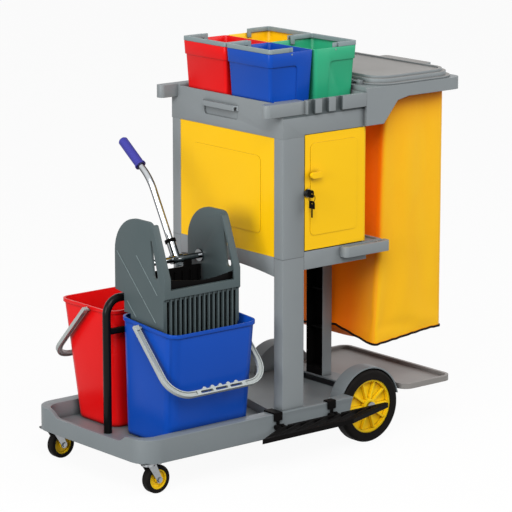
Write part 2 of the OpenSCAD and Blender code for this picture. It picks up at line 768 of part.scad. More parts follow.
// Lid: flange, raised body with a sunk top, knuckles and a lifting tab
module bag_lid() cart(GREY) {
    x1 = ring_x1 - 6;
    y1 = ring_y - 6;
    z0 = ring_top;
    z1 = ring_top + lid_h;
    knuckle = ear_y/2 - 25;
    difference() {
        union() {
            slab([lid_x0 + 1, -y1], [x1, y1], 62, z0, z0 + 5);
            slab([lid_x0 + 10, -y1 + 9], [x1 - 9, y1 - 9], 58, z0, z1 - 7);
            slab([lid_x0 + 18, -y1 + 18], [x1 - 18, y1 - 18], 54, z0, z1);
            slab([x1 - 40, -tab_w/2], [ring_x1 + tab_l, tab_w/2], 12, z1 - 12, z1 - 5);
            for (y = [-1, 1]*ear_y/2) {
                rod_y(5.5, y - knuckle, y + knuckle, lid_pin_x, lid_pin_z);
                block([lid_pin_x, y - knuckle, z0 + 1], [lid_x0 + 20, y + knuckle, z0 + 8]);
            }
        }
        slab([lid_x0 + 27, -y1 + 27], [x1 - 27, y1 - 27], 46, z1 - 4, z1 + 1);
        slab([lid_x0 + 22, -y1 + 22], [x1 - 22, y1 - 22], 50, z0 - 1, z1 - 4 - lid_t);
        for (y = [-1, 1]*ear_y/2)
            rod_y(lid_pin_r + run, y - knuckle - 1, y + knuckle + 1, lid_pin_x, lid_pin_z);
    }
}

// Bag: open box of cloth with a bottom that sags between its corners
module waste_bag() cart(BAG) difference() {
    union() {
        slab([bag_x0, -bag_y], [bag_x1, bag_y], 15, bag_low, bag_top);
        hull() {
            slab([bag_x0 + 2, -bag_y + 2], [bag_x1 - 2, bag_y - 2], 14, bag_low, bag_low + 1);
            slab([bag_x0 + 70, -bag_y + 70], [bag_x1 - 70, bag_y - 70], 14, bag_low - bag_sag, bag_low);
        }
    }
    slab([bag_x0 + bag_t, -bag_y + bag_t], [bag_x1 - bag_t, bag_y - bag_t], 13, bag_low + 1, bag_top + 1);
}

// Fold-out rest: lattice plate in the plan of a slanted strip, with knuckles on the two clips
module tool_rest() {
    y0 = rest_y;
    y1 = rest_y + rest_w;
    x0 = post_x - rest_lead;
    x1 = x0 + rest_l;
    tip = axle_x + 6;
    frame = 11;
    inner = y0 + 13;
    outline = [[x0, y1], [x1, y1], [tip, inner + 12], [tip, inner], [post_x - 30, inner]];
    lean = (tip - x1)/(inner - y1);
    z0 = rest_z - rest_t/2;
    difference() {
        translate([0, 0, z0]) linear_extrude(rest_t) difference() {
            polygon(outline);
            difference() {
                polygon([[x0 + 26, y1 - frame], [x1 - 6, y1 - frame], [tip - 40, inner + frame],
                    [post_x - 20, inner + frame]]);
                for (i = [0:6]) let (x = x0 + 30 + i*48, back = lean*(y1 - y0)*0.9)
                    polygon([[x, y1], [x + 16, y1], [x + 16 - back, y0], [x - back, y0]]);
            }
        }
        for (x = clip_x) block([x - 3, y0, z0 - 1], [x + clip_w + 3, y0 + 22, z0 + rest_t + 1]);
    }
    third = clip_w/3;
    for (x = clip_x, k = [0, 2])
        let (a = x + k*third + (k == 0 ? 0 : 0.5), b = x + (k + 1)*third - (k == 0 ? 0.5 : 0))
        difference() {
            union() {
                rod_x(rest_pin_r + 2.5, a, b, y0, rest_z);
                block([a, y0, rest_z - 4], [b, y0 + 26, rest_z + 4]);
            }
            rod_x(rest_pin_r + run, a - 1, b + 1, y0, rest_z);
        }
}

module tool_rest_right() cart(DARK) mirror([0, 1, 0]) tool_rest();
module tool_rest_left() cart(DARK) tool_rest();

// Clip over the side rail, with the pin that a rest turns on
module rest_clip(x, inner) {
    third = clip_w/3;
    t = 4;
    low = rest_z + 16;
    block([x, half_w, low], [x + clip_w, half_w + t, rail_top + t]);
    block([x, inner - t, rail_top], [x + clip_w, half_w, rail_top + t]);
    block([x, inner - t, rail_top - 10], [x + clip_w, inner, rail_top]);
    block([x + third + 0.5, half_w, rest_z - 4], [x + 2*third - 0.5, half_w + t, low]);
    block([x + third + 0.5, half_w, rest_z - 4], [x + 2*third - 0.5, rest_y, rest_z + 4]);
    rod_x(rest_pin_r, x, x + clip_w, rest_y, rest_z);
}

module rest_clips() cart(DARK) both() {
    rest_clip(clip_x[0], rail_y);
    rest_clip(clip_x[1], half_w - rail_thin);
}

module rear_axle() cart(STEEL) {
    rod_y(axle_r, -wheel_out - 5, wheel_out + 5, axle_x, axle_z);
    both() rod_y(axle_r + 5, wheel_out + 1, wheel_out + 5, axle_x, axle_z);
}

// Rear hub: rim, web, ribs and boss, with its outer face towards +Y
module rear_hub() {
    r = wheel_r - tyre_t - run;
    y0 = wheel_in + 4;
    y1 = wheel_out - 4;
    web0 = y1 - 18;
    difference() {
        union() {
            difference() {
                rod_y(r, y0, y1, axle_x, axle_z);
                rod_y(r - 6, web0 + 5, y1 + 1, axle_x, axle_z);
                rod_y(r - 6, y0 - 1, web0, axle_x, axle_z);
            }
            rod_y(axle_r + 12, wheel_in + 1, wheel_out - 1, axle_x, axle_z);
            for (i = [0:hub_ribs - 1]) translate([axle_x, 0, axle_z]) rotate([0, i*360/hub_ribs, 0])
                block([axle_r + 4, web0 + 1, -2.5], [r - 3, y1 - 3, 2.5]);
        }
        rod_y(axle_r + run, wheel_in - 1, wheel_out + 1, axle_x, axle_z);
    }
}

module rear_hub_right() cart(YELLOW) mirror([0, 1, 0]) rear_hub();
module rear_hub_left() cart(YELLOW) rear_hub();

// Ring of a tyre with rounded shoulders, on the Y axis
module tyre(r_in, r, w, s) rotate([90, 0, 0]) rotate_extrude($fn = 96) union() {
    translate([r_in, -w/2]) square([r - r_in - s, w]);
    translate([r - s, -w/2 + s]) square([s, w - 2*s]);
    for (y = [-1, 1]*(w/2 - s)) translate([r - s, y]) circle(s);
}

module rear_tyre() translate([axle_x, (wheel_in + wheel_out)/2, axle_z])
    tyre(wheel_r - tyre_t, wheel_r, wheel_w, 9);
module rear_tyre_right() cart(DARK) mirror([0, 1, 0]) rear_tyre();
module rear_tyre_left() cart(DARK) rear_tyre();

// Caster: plate with bearing cup, fork that swivels on a king pin, wheel on a cross axle
module caster_plates() cart(STEEL) both() difference() {
    union() {
        slab([caster_x, caster_y] - [1, 1]*caster_plate/2, [caster_x, caster_y] + [1, 1]*caster_plate/2, 5,
            caster_top, deck_bottom);
        translate([caster_x, caster_y, cup_z]) cylinder(r = 20, h = caster_top - cup_z);
    }
    translate([caster_x, caster_y, cup_z - 1]) cylinder(r = king_r + run, h = 10);
    for (x = [-1, 1], y = [-1, 1])
        translate([caster_x, caster_y, caster_top - 1] + [x, y, 0]*(caster_plate/2 - 7))
        cylinder(r = 3 + run, h = 5);
}

module caster_bolts() cart(STEEL) both() for (x = [-1, 1], y = [-1, 1])
    translate([caster_x, caster_y, caster_top] + [x, y, 0]*(caster_plate/2 - 7)) {
        cylinder(r = 3, h = 3);
        translate([0, 0, -3.5]) cylinder(r = 5, h = 3.5, $fn = 6);
    }

module caster_fork() {
    gap = caster_w/2 + 2;
    t = 2.5;
    wx = caster_x + caster_trail;
    translate([caster_x, caster_y, fork_top - 3]) cylinder(r = 19, h = 3);
    translate([caster_x, caster_y, fork_top - 1]) cylinder(r = king_r, h = deck_bottom - 1 - fork_top);
    for (s = [-1, 1]) difference() {
        side_plate(caster_y + s*(gap + t/2) - t/2, caster_y + s*(gap + t/2) + t/2) {
            polygon([[caster_x - 12, fork_top], [caster_x + 14, fork_top], [wx + 9, caster_c],
                [wx - 9, caster_c]]);
            translate([wx, caster_c]) circle(9);
        }
        rod_y(caster_axle_r + run, caster_y - 30, caster_y + 30, wx, caster_c);
    }
}

module caster_fork_right() cart(STEEL) mirror([0, 1, 0]) caster_fork();
module caster_fork_left() cart(STEEL) caster_fork();

module caster_axle() {
    y = caster_w/2 + 4.5;
    wx = caster_x + caster_trail;
    rod_y(caster_axle_r, caster_y - y, caster_y + y, wx, caster_c);
    for (s = [0, 1]) translate([wx, caster_y + (s == 0 ? -y : y + 4), caster_c]) rotate([90, 0, 0])
        cylinder(r = 6.5, h = 4, $fn = 6);
}

module caster_axle_right() cart(STEEL) mirror([0, 1, 0]) caster_axle();
module caster_axle_left() cart(STEEL) caster_axle();

module caster_hub() difference() {
    wx = caster_x + caster_trail;
    r = caster_c - 11 - run;
    union() {
        rod_y(r, caster_y - caster_w/2 + 2, caster_y + caster_w/2 - 2, wx, caster_c);
        rod_y(9, caster_y - caster_w/2 - 1.5, caster_y + caster_w/2 + 1.5, wx, caster_c);
    }
    for (s = [-1, 1]) difference() {
        rod_y(r - 4, caster_y + s*9 - 4, caster_y + s*9 + 4, wx, caster_c);
        rod_y(9, caster_y - caster_w, caster_y + caster_w, wx, caster_c);
    }
    rod_y(caster_axle_r + run, caster_y - caster_w, caster_y + caster_w, wx, caster_c);
}

module caster_hub_right() cart(YELLOW) mirror([0, 1, 0]) caster_hub();
module caster_hub_left() cart(YELLOW) caster_hub();

module caster_tyre() translate([caster_x + caster_trail, caster_y, caster_c])
    tyre(caster_c - 11, caster_c, caster_w, 5);
module caster_tyre_right() cart(DARK) mirror([0, 1, 0]) caster_tyre();
module caster_tyre_left() cart(DARK) caster_tyre();

// Divider between the mop buckets: bent tube with a cross bar
module divider_frame() cart(DARK) {
    r = divider_d/2;
    bend = 42;
    x0 = mop_x - divider_out;
    x1 = mop_x + mop_l + divider_out;
    top = divider_top - r;
    translate([0, divider_y, 0]) {
        for (x = [x0, x1]) translate([x, 0, pan_z]) cylinder(r = r, h = top - bend - pan_z);
        rod_x(r, x0 + bend, x1 - bend, 0, top);
        rod_x(r*0.8, x0, x1, 0, pan_z + divider_bar);
        for (s = [0, 1]) translate([s == 0 ? x0 + bend : x1 - bend, 0, top - bend]) mirror([s, 0, 0])
            rotate([90, 0, 180]) rotate_extrude(angle = 90) translate([bend, 0]) circle(r);
    }
}

// Mop bucket, outer side towards +Y and its inner side at y = 0, drawn from its rim's corner
// drop lowers the rim towards the outer side
module mop_shell(drop, draft) {
    l = mop_l - 2*mop_rim;
    w = mop_w - 2*mop_rim;
    bl = l - 2*mop_draft_x;
    bw = w - draft;
    tilt = atan(drop/mop_w);
    z1 = mop_h - 5;
    translate([mop_rim, mop_rim, 0]) difference() {
        union() {
            difference() {
                tapered(l, w, bl, bw, mop_r, 0, z1);
                if (drop > 0) translate([-50, -mop_rim, z1]) rotate([-tilt, 0, 0])
                    cube([mop_l + 100, 2*mop_w, 100]);
            }
            translate([0, -mop_rim, z1 - 4]) rotate([-tilt, 0, 0]) translate([0, mop_rim, 0])
                slab([-mop_rim, -mop_rim], [l + mop_rim, w + mop_rim], mop_r, 0, 6);
            for (x = [0, l]) rod_x(9, x - 3, x + 3, pivot_y() - mop_rim, mop_h - 16 - pivot_drop(drop));
        }
        tapered(l - 2*mop_t, w - 2*mop_t, bl - 2*mop_t, bw - 2*mop_t, mop_r - mop_t,
            mop_t, mop_h + 20, mop_t);
        for (x = [0, l])
            rod_x(bail_pin_r + run, x - 20, x + 20, pivot_y() - mop_rim, mop_h - 16 - pivot_drop(drop));
    }
}

function pivot_y() = mop_w*0.42;
function pivot_drop(drop) = drop*0.42;

// Tapered block: full size at the nominal top, smaller at the bottom, with the inner side upright
module tapered(l, w, bl, bw, r, z0, z1, shift = 0) {
    n = 32;
    up = mop_h - 5;
    k = (z1 - z0)/(up - z0);
    tl = bl + (l - bl)*k;
    tw = bw + (w - bw)*k;
    mid = shift + l/2;
    hull() {
        translate([mid - bl/2, shift, z0]) linear_extrude(eps) rounded([0, 0], [bl, bw], r*0.85, $fn = n);
        translate([mid - tl/2, shift, z1 - eps]) linear_extrude(eps) rounded([0, 0], [tl, tw], r, $fn = n);
    }
}

// Places a mop bucket drawn by mop_shell on the blue or the red side
module blue_side() translate([mop_x, divider_y - mop_off, pan_z]) mirror([0, 1, 0]) children();
module red_side() translate([mop_x, divider_y + mop_off, pan_z]) children();

module blue_mop_bucket() cart(BLUE) blue_side() mop_shell(rim_drop, blue_draft);
module red_mop_bucket() cart(RED) red_side() mop_shell(0, red_draft);

// Outline of a bail's strap between two distances in from its outer edge
module strap(half, a, b) {
    r = 70;
    difference() {
        rounded([-half + a, -r - 40], [half - a, bail_reach - a], r - a);
        rounded([-half + b, -r - 60], [half - b, bail_reach - b], r - b);
        translate([-half - 1, -200]) square([2*half + 2, 200 - 8]);
    }
}

// Bail: grooved strap bent to a U, on two pivots, with bumps and windows at its grip
module mop_bail(drop) {
    half = mop_l/2 + 3 + bail_w;
    lip = 3;
    deep = bail_t*0.25;
    window = 48;
    translate([mop_l/2, pivot_y(), mop_h - 16 - pivot_drop(drop)]) rotate([-bail_rest, 0, 0]) {
        difference() {
            translate([0, 0, -bail_t/2]) linear_extrude(bail_t) difference() {
                union() {
                    strap(half, 0, bail_w);
                    for (i = [-2:2]) translate([i*26, bail_reach - bail_w]) circle(6);
                }
                for (i = [-1:1]) translate([i*window, bail_reach - bail_w/2])
                    rounded([-window/2 + 4, -bail_w/2 + lip + 1], [window/2 - 4, bail_w/2 - lip - 1], 3);
            }
            for (s = [-1, 1]) translate([0, 0, s*bail_t/2 - deep]) linear_extrude(2*deep) difference() {
                strap(half, lip, bail_w - lip);
                translate([-1.5*window - 8, bail_reach - 60]) square([3*window + 16, 80]);
                for (x = [-1, 1]*(half - bail_w/2)) translate([x, 0]) circle(bail_w/2);
            }
        }
        for (s = [0, 1]) mirror([s, 0, 0]) rod_x(bail_pin_r, mop_l/2 - mop_rim - 2, half - bail_w/2, 0, 0);
    }
}

module blue_bail() cart(PALE) blue_side() mop_bail(rim_drop);
module red_bail() cart(PALE) red_side() mop_bail(0);

// Outline of a wringer cheek in (y, z): round top, flare over the divider, tucked in inside the bucket
module cheek_outline() {
    tuck_near = 14;
    tuck_far = 28;
    over_rim = pan_z + mop_h + 2;
    under_rim = pan_z + mop_h - rim_drop - 8;
    top = pan_z + cheek_top;
    near = wringer_y1;
    far = divider_y + mop_off - 2;
    far_r = 95;
    near_r = 22;
    polygon(concat([[near + tuck_near, basket_z], [wringer_y0 - tuck_far, basket_z],
        [wringer_y0 - tuck_far, over_rim], [wringer_y0, over_rim], [wringer_y0, divider_top + 5],
        [far, divider_top + 11]], arc([far - far_r, top - far_r], far_r, 0, 90),
        arc([near + 68, top - near_r], near_r, 90, 158),
        [[near, bar_z + 30], [near, bar_z - bar_h], [near + recess, bar_z - bar_h - recess],
        [near + recess, under_rim], [near + tuck_near, under_rim - tuck_near]]));
}

// Band along the near edge of a cheek, in (y, z)
module cheek_band() intersection() {
    difference() {
        cheek_outline();
        translate([band_t, 0]) cheek_outline();
    }
    translate([wringer_y1 - 1, bar_z - bar_h]) square([wringer_w, pan_z + cheek_top - 8 - bar_z + bar_h]);
}

// Wringer: two cheeks with a band inside the near edge, a wall with ribs and slots under a bar,
// a rear tie, a basket floor and a hook
module wringer_body() cart(SLATE) {
    low = basket_z;
    over_rim = pan_z + mop_h + 2;
    x1 = wringer_x + wringer_l;
    y0 = wringer_y0;
    y1 = wringer_y1;
    wall = y1 + recess;
    blind = 3;
    in0 = wringer_x + cheek_t;
    in1 = x1 - cheek_t;
    pitch = (in1 - in0)/wringer_ribs;
    rib = 5;
    difference() {
        for (x = [wringer_x, in1]) cross_plate(x, x + cheek_t) cheek_outline();
        rod_x(shaft_r + run, wringer_x + blind, x1 - blind, shaft_y, shaft_z);
        cross_plate(wringer_x - 1, x1 + 1) finger_slot([y1 + 39, bar_z + 36], [y1 + 56, bar_z + 121]);
    }
    for (x = [in0 - eps, in1 - band_w]) cross_plate(x, x + band_w + eps) cheek_band();
    difference() {
        block([in0 - eps, wall, low], [in1 + eps, wall + 5, bar_z - bar_h + 1]);
        for (i = [0:wringer_ribs - 1]) translate([in0 + i*pitch + rib/2 + 1, wall - 1, low + 20])
            cube([pitch - rib - 2, 7, bar_z - bar_h - low - 28]);
    }
    for (i = [1:wringer_ribs - 1])
        block([in0 + i*pitch - rib/2, wall - 3, low], [in0 + i*pitch + rib/2, wall + 1, bar_z - bar_h + 1]);
    block([in0 - eps, y1, bar_z - bar_h], [in1 + eps, y1 + strainer_in - pass, bar_z]);
    block([in0 - eps, y0 - 4, over_rim + 2], [in1 + eps, y0, over_rim + 22]);
    difference() {
        block([wringer_x, y1 + 14, low - 5], [x1, y0 - 28, low + eps]);
        for (i = [0:9], j = [0:4]) translate([in0 + 8 + i*(in1 - in0 - 16)/10, y1 + 22 + j*24, low - 6])
            cube([12, 10, 8]);
    }
    // Hook over the bucket's inner rim
    block([wringer_x + 40, y0 - 4, over_rim + 2], [x1 - 40, y0 + mop_rim + mop_t, over_rim + 8]);
}

// Teardrop slot between a low and a high centre, drawn in (y, z)
module finger_slot(lo, hi) polygon(concat(arc(lo, 10, 170, 350), arc(hi, 2.5, -10, 170)));

// Fixed strainer inside the near wall, with a wavy upper edge above the bar
module strainer_plate() cart(DARK) {
    low = basket_z + pass;
    x0 = wringer_x + cheek_t + pass;
    x1 = wringer_x + wringer_l - cheek_t - pass;
    y = wringer_y1 + strainer_in;
    n = 9;
    margin = 8;
    rib = 3;
    pitch = (x1 - x0 - 2*margin - rib)/(n - 1);
    wave = [for (i = [24:-1:0]) [x0 + (x1 - x0)*i/24, bar_z + 17 + 7*cos(300*i/24)]];
    side_plate(y, y + 4) polygon(concat([[x0, low], [x1, low]], wave));
    for (i = [0:n - 1]) let (x = x0 + margin + i*pitch)
        block([x, y + 3, low], [x + rib, y + 8, bar_z + 6]);
}

// Plate that swings with the shaft
module press_plate() cart(DARK) {
    x0 = wringer_x + cheek_t + 2;
    x1 = wringer_x + wringer_l - cheek_t - 2;
    l = shaft_z - basket_z - 4;
    n = 9;
    margin = 8;
    rib = 4;
    ear = 20;
    ear_in = 30;
    pitch = (x1 - x0 - 2*margin - rib)/(n - 1);
    translate([0, shaft_y, shaft_z]) difference() {
        union() {
            block([x0, -6, -l], [x1, 0, -shaft_r - 14]);
            for (i = [0:n - 1]) let (x = x0 + margin + i*pitch)
                block([x, -12, -l], [x + rib, -5, -shaft_r - 24]);
            for (x = [x0 + ear_in, x1 - ear_in - ear]) block([x, -6, -shaft_r - 20], [x + ear, 6, 0]);
        }
        rod_x(shaft_r + run, x0 - 1, x1 + 1, 0, 0);
    }
}

// Shaft in blind holes of the cheeks, with a flange beside each cheek
module wringer_shaft() cart(STEEL) {
    blind = 3;
    flange = 4;
    x1 = wringer_x + wringer_l;
    rod_x(shaft_r, wringer_x + blind + pass, x1 - blind - pass, shaft_y, shaft_z);
    for (x = [wringer_x + cheek_t + pass, x1 - cheek_t - pass - flange])
        rod_x(shaft_r*2, x, x + flange, shaft_y, shaft_z);
}

// Lever: socket on the shaft, straight tube, bend and short end inside the grip
module wringer_lever() cart(STEEL) translate([lever_x, shaft_y, shaft_z]) rotate([-lever_lean, 0, 0]) {
    bend = lever_bend;
    turn = grip_lean - lever_lean;
    difference() {
        union() {
            cylinder(r = lever_r + 3, h = socket_l);
            rod_x(shaft_r + 4, -17, 17, 0, 0);
            block([-10, -4, -shaft_r - 12], [10, 4, 0]);
            cylinder(r = lever_r, h = lever_l - bend*tan(turn/2));
        }
        rod_x(shaft_r + run, -20, 20, 0, 0);
    }
    translate([0, 0, lever_l - bend*tan(turn/2)]) {
        translate([0, bend, 0]) rotate([0, -90, 0]) rotate([0, 0, -91]) rotate_extrude(angle = turn + 2)
            translate([bend, 0]) circle(lever_r + 0.1);
    }
    translate([0, 0, lever_l]) rotate([-turn, 0, 0]) translate([0, 0, bend*tan(turn/2)])
        cylinder(r = lever_r, h = 16 + grip_l - 6);
}

module lever_collar() cart(DARK) translate([lever_x, shaft_y, shaft_z]) rotate([-lever_lean, 0, 0])
    translate([0, 0, socket_l]) difference() {
        cylinder(r = lever_r + 6, h = 9);
        translate([0, 0, -1]) cylinder(r = lever_r + run, h = 11);
    }

module lever_grip() cart(GRIP) translate([lever_x, shaft_y, shaft_z]) rotate([-lever_lean, 0, 0])
    translate([0, 0, lever_l]) rotate([-(grip_lean - lever_lean), 0, 0])
    translate([0, 0, lever_bend*tan((grip_lean - lever_lean)/2) + 16]) difference() {
        union() {
            cylinder(r = lever_r + 4, h = grip_l - 4);
            translate([0, 0, grip_l - 4]) cylinder(r1 = lever_r + 4, r2 = lever_r + 1, h = 4);
            cylinder(r = lever_r + 6, h = 4);
        }
        translate([0, 0, -1]) cylinder(r = lever_r + run, h = grip_l - 6 + 1);
    }

// Small bucket, drawn from its rim's centre at its foot; bail ears at the middle of the long sides
module pail() {
    l = pail_l - pass;
    w = pail_w - pass;
    zb = pail_h - pail_band;
    s = pail_step;
    d = s + pail_draft;
    difference() {
        union() {
            slab([-l/2, -w/2], [l/2, w/2], 12, zb, pail_h);
            hull() {
                linear_extrude(eps) rounded([-l/2 + d, -w/2 + d], [l/2 - d, w/2 - d], 12, $fn = 32);
                translate([0, 0, zb]) linear_extrude(1)
                    rounded([-l/2 + s, -w/2 + s], [l/2 - s, w/2 - s], 12, $fn = 32);
            }
        }
        hull() {
            translate([0, 0, pail_t]) linear_extrude(eps)
                rounded([-l/2, -w/2] + [1, 1]*(d + pail_t), [l/2, w/2] - [1, 1]*(d + pail_t), 10, $fn = 32);
            translate([0, 0, zb]) linear_extrude(pail_t + eps)
                rounded([-l/2, -w/2] + [1, 1]*(s + pail_t), [l/2, w/2] - [1, 1]*(s + pail_t), 10, $fn = 32);
        }
        slab([-l/2 + pail_t, -w/2 + pail_t], [l/2 - pail_t, w/2 - pail_t], 10, zb + pail_t, pail_h + 1);
        rod_y(pail_pin_r + run, -w, w, 0, pail_pin_z);
    }
}

// Bail of a small bucket: flat U on the rim, with arms that turn on pins in the long sides
module pail_bail() {
    l = pail_l/2 - pass;
    w = pail_w/2 - pass/2;
    inner = pail_bail_w;
    arm = 9;
    z = pail_h + pass;
    difference() {
        slab([-l, -w], [10, w], 10, z, z + pail_bail_t);
        block([-arm, -w - 1, z - 1], [20, w + 1, z + pail_bail_t + 1]);
        slab([-l + inner, -w + inner], [20, w - inner], 5, z - 1, z + pail_bail_t + 1);
    }
    for (s = [-1, 1]) {
        y = s*(w - pail_t - 3.5);
        block([-6, y - 2.5, pail_h - 12], [6, y + 2.5, z + 2]);
        block([-arm - 8, y - 2.5, z], [6, y + 2.5, z + pail_bail_t]);
        rod_y(pail_pin_r, min(y, s*w), max(y, s*w), 0, pail_pin_z);
    }
}

module pail_at(ix, iy) translate([pail_x0 + pail_l*(ix + 0.5), pail_w*(iy - 0.5), well_z]) children();
module pail_red() cart(RED) pail_at(0, 1) pail();
module pail_blue() cart(BLUE) pail_at(0, 0) pail();
module pail_yellow() cart(YELLOW) pail_at(1, 1) pail();
module pail_green() cart(GREEN) pail_at(1, 0) pail();
module pail_bail_red() cart(GREY) pail_at(0, 1) pail_bail();
module pail_bail_blue() cart(GREY) pail_at(0, 0) pail_bail();
module pail_bail_yellow() cart(GREY) pail_at(1, 1) mirror([1, 0, 0]) pail_bail();
module pail_bail_green() cart(GREY) pail_at(1, 0) mirror([1, 0, 0]) pail_bail();

base_deck();
rear_platform();
platform_bolts();
front_post_right();
front_post_left();
rear_post();
cabinet_shelf();
front_panel();
left_panel();
back_panel();
cabinet_door();
door_hinge_pins();
door_pull();
lock_barrel();
lock_plug();
door_key();
spare_key();
top_tray();
bag_frame();
lid_hinge_pins();
bag_lid();
waste_bag();
tool_rest_right();
tool_rest_left();
rest_clips();
rear_axle();
rear_hub_right();
rear_hub_left();
rear_tyre_right();
rear_tyre_left();
caster_plates();
caster_bolts();
caster_fork_right();
caster_fork_left();
caster_axle_right();
caster_axle_left();
caster_hub_right();
caster_hub_left();
caster_tyre_right();
caster_tyre_left();
divider_frame();
blue_mop_bucket();
blue_bail();
red_mop_bucket();
red_bail();
wringer_body();
strainer_plate();
press_plate();
wringer_shaft();
wringer_lever();
lever_collar();
lever_grip();
pail_red();
pail_blue();
pail_yellow();
pail_green();
pail_bail_red();
pail_bail_blue();
pail_bail_yellow();
pail_bail_green();
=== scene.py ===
"""Looks of the janitor cart: a finish for every piece, and softer forms for its bag, buckets and mouldings.

Metres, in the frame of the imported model: +X towards the bag, +Y away from the door, +Z up from the floor.
"""
import logging
import math
from collections.abc import Callable, Iterator, Sequence
from contextlib import contextmanager
from dataclasses import dataclass
from enum import Enum

import bmesh
import bpy
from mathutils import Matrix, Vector


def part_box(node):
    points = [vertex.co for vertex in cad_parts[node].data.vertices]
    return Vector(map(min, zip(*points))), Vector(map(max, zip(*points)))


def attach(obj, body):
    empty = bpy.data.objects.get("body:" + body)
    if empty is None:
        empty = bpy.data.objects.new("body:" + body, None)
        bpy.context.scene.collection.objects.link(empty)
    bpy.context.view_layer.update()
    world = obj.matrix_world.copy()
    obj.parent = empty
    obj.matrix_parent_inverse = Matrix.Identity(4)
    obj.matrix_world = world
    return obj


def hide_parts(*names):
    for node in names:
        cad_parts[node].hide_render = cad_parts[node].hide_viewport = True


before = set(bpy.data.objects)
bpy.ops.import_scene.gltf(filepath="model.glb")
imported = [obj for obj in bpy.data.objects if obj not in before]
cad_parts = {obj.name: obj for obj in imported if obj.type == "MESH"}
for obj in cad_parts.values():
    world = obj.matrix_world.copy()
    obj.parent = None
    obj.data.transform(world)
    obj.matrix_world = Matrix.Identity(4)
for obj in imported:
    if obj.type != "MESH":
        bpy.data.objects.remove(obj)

LOG = logging.getLogger("janitor_cart")
MM = 0.001
RELIEF = 0.2 * MM
# Painted shade in hollows: share of open sky over a place, from and to, and the share of its colour that
# shows there.
PAINTED_SHADE_RANGE = {1: 0.3, 2: 0.85, 3: 0.35, 4: 1.0}
Test = Callable[[Vector, Vector], bool]


class Pick(Enum):
    """What an edit-mode operator acts on."""

    EDGES = "EDGE"
    FACES = "FACE"


def linear(code: str) -> tuple[float, float, float, float]:
    """Turns an sRGB hex colour to linear.

    Args:
        code: colour such as "#888e90".

    Returns:
        Linear red, green and blue, and an alpha of 1.
    """
    parts = [int(code[i:i + 2], 16) / 255 for i in (1, 3, 5)]
    r, g, b = (c / 12.92 if c <= 0.04045 else ((c + 0.055) / 1.055) ** 2.4 for c in parts)
    return r, g, b, 1.0


def per_mm(size: float) -> float:
    """Texture scale whose features are about this many millimetres apart."""
    return 1 / (size * MM)


def add(tree: bpy.types.NodeTree, kind: str, inputs: dict | None = None, **settings) -> bpy.types.Node:
    """Adds a shader node with its settings and links.

    Args:
        tree: nodes of a material or of the world.
        kind: type of the node, without its leading ShaderNode.
        inputs: a value, or the output it comes from, for each input by name or number.
        settings: attributes of the node.

    Returns:
        The new node.
    """
    node = tree.nodes.new("ShaderNode" + kind)
    for key, value in settings.items():
        setattr(node, key, value)
    for key, value in (inputs or {}).items():
        if isinstance(value, bpy.types.NodeSocket):
            tree.links.new(value, node.inputs[key])
        else:
            node.inputs[key].default_value = value
    return node


def blank_material(name: str) -> tuple[bpy.types.Material, bpy.types.NodeTree, bpy.types.NodeSocket]:
    """Starts a material.

    Args:
        name: name of the material.

    Returns:
        The material, its empty node tree, and the object coordinates in it.
    """
    material = bpy.data.materials.new(name)
    material.use_nodes = True
    tree = material.node_tree
    tree.nodes.clear()
    return material, tree, add(tree, "TexCoord").outputs["Object"]


@dataclass(frozen=True)
class MouldedPlastic:
    """Injection-moulded plastic: even colour with faint clouds, soft shine, rounded edges and fine grain."""

    name: str
    colour: str
    cloud: str
    roughness: float = 0.4
    grain_mm: float = 2.2
    grain: float = 0.1
    edge_mm: float = 1.6
    gloss: float = 0.25
    # Reach of the painted shade in hollows, in millimetres.
    painted_shade_mm: float = 22.0
    cloud_mm: float = 120.0
    shine_spread: float = 0.06

    def material(self) -> bpy.types.Material:
        """Makes the material.

        Returns:
            The finished material.
        """
        material, tree, place = blank_material(self.name)
        clouds = add(tree, "TexNoise", {"Vector": place, "Scale": per_mm(self.cloud_mm), "Detail": 3.0})
        colour = add(tree, "Mix", {0: clouds.outputs["Fac"], 6: linear(self.cloud), 7: linear(self.colour)},
                     data_type="RGBA")
        # Painted shade: the colour is darkened in the grooves, slots and joints of a moulding, where shade
        # falls.
        hollow = add(tree, "AmbientOcclusion", {"Distance": self.painted_shade_mm * MM}, samples=6)
        depth = add(tree, "MapRange", {"Value": hollow.outputs["AO"], **PAINTED_SHADE_RANGE})
        colour = add(tree, "Mix", {0: 1.0, 6: colour.outputs[2], 7: depth.outputs[0]}, data_type="RGBA",
                     blend_type="MULTIPLY")
        # The grain is drawn coarser than the real one, which is too fine to show.
        grain = add(tree, "TexNoise", {"Vector": place, "Scale": per_mm(self.grain_mm), "Detail": 2.0})
        shine = add(tree, "MapRange", {"Value": clouds.outputs["Fac"], 3: self.roughness + self.shine_spread,
                                       4: self.roughness - self.shine_spread})
        # A moulding has no knife edges: its edges catch a thin line of light.
        edge = add(tree, "Bevel", {"Radius": self.edge_mm * MM}, samples=4)
        bump = add(tree, "Bump", {"Height": grain.outputs["Fac"], "Strength": self.grain, "Distance": RELIEF,
                                  "Normal": edge.outputs[0]})
        shader = add(tree, "BsdfPrincipled", {"Base Color": colour.outputs[2], "Roughness": shine.outputs[0],
                                              "Normal": bump.outputs[0], "Specular IOR Level": self.gloss})
        add(tree, "OutputMaterial", {"Surface": shader.outputs[0]})
        return material


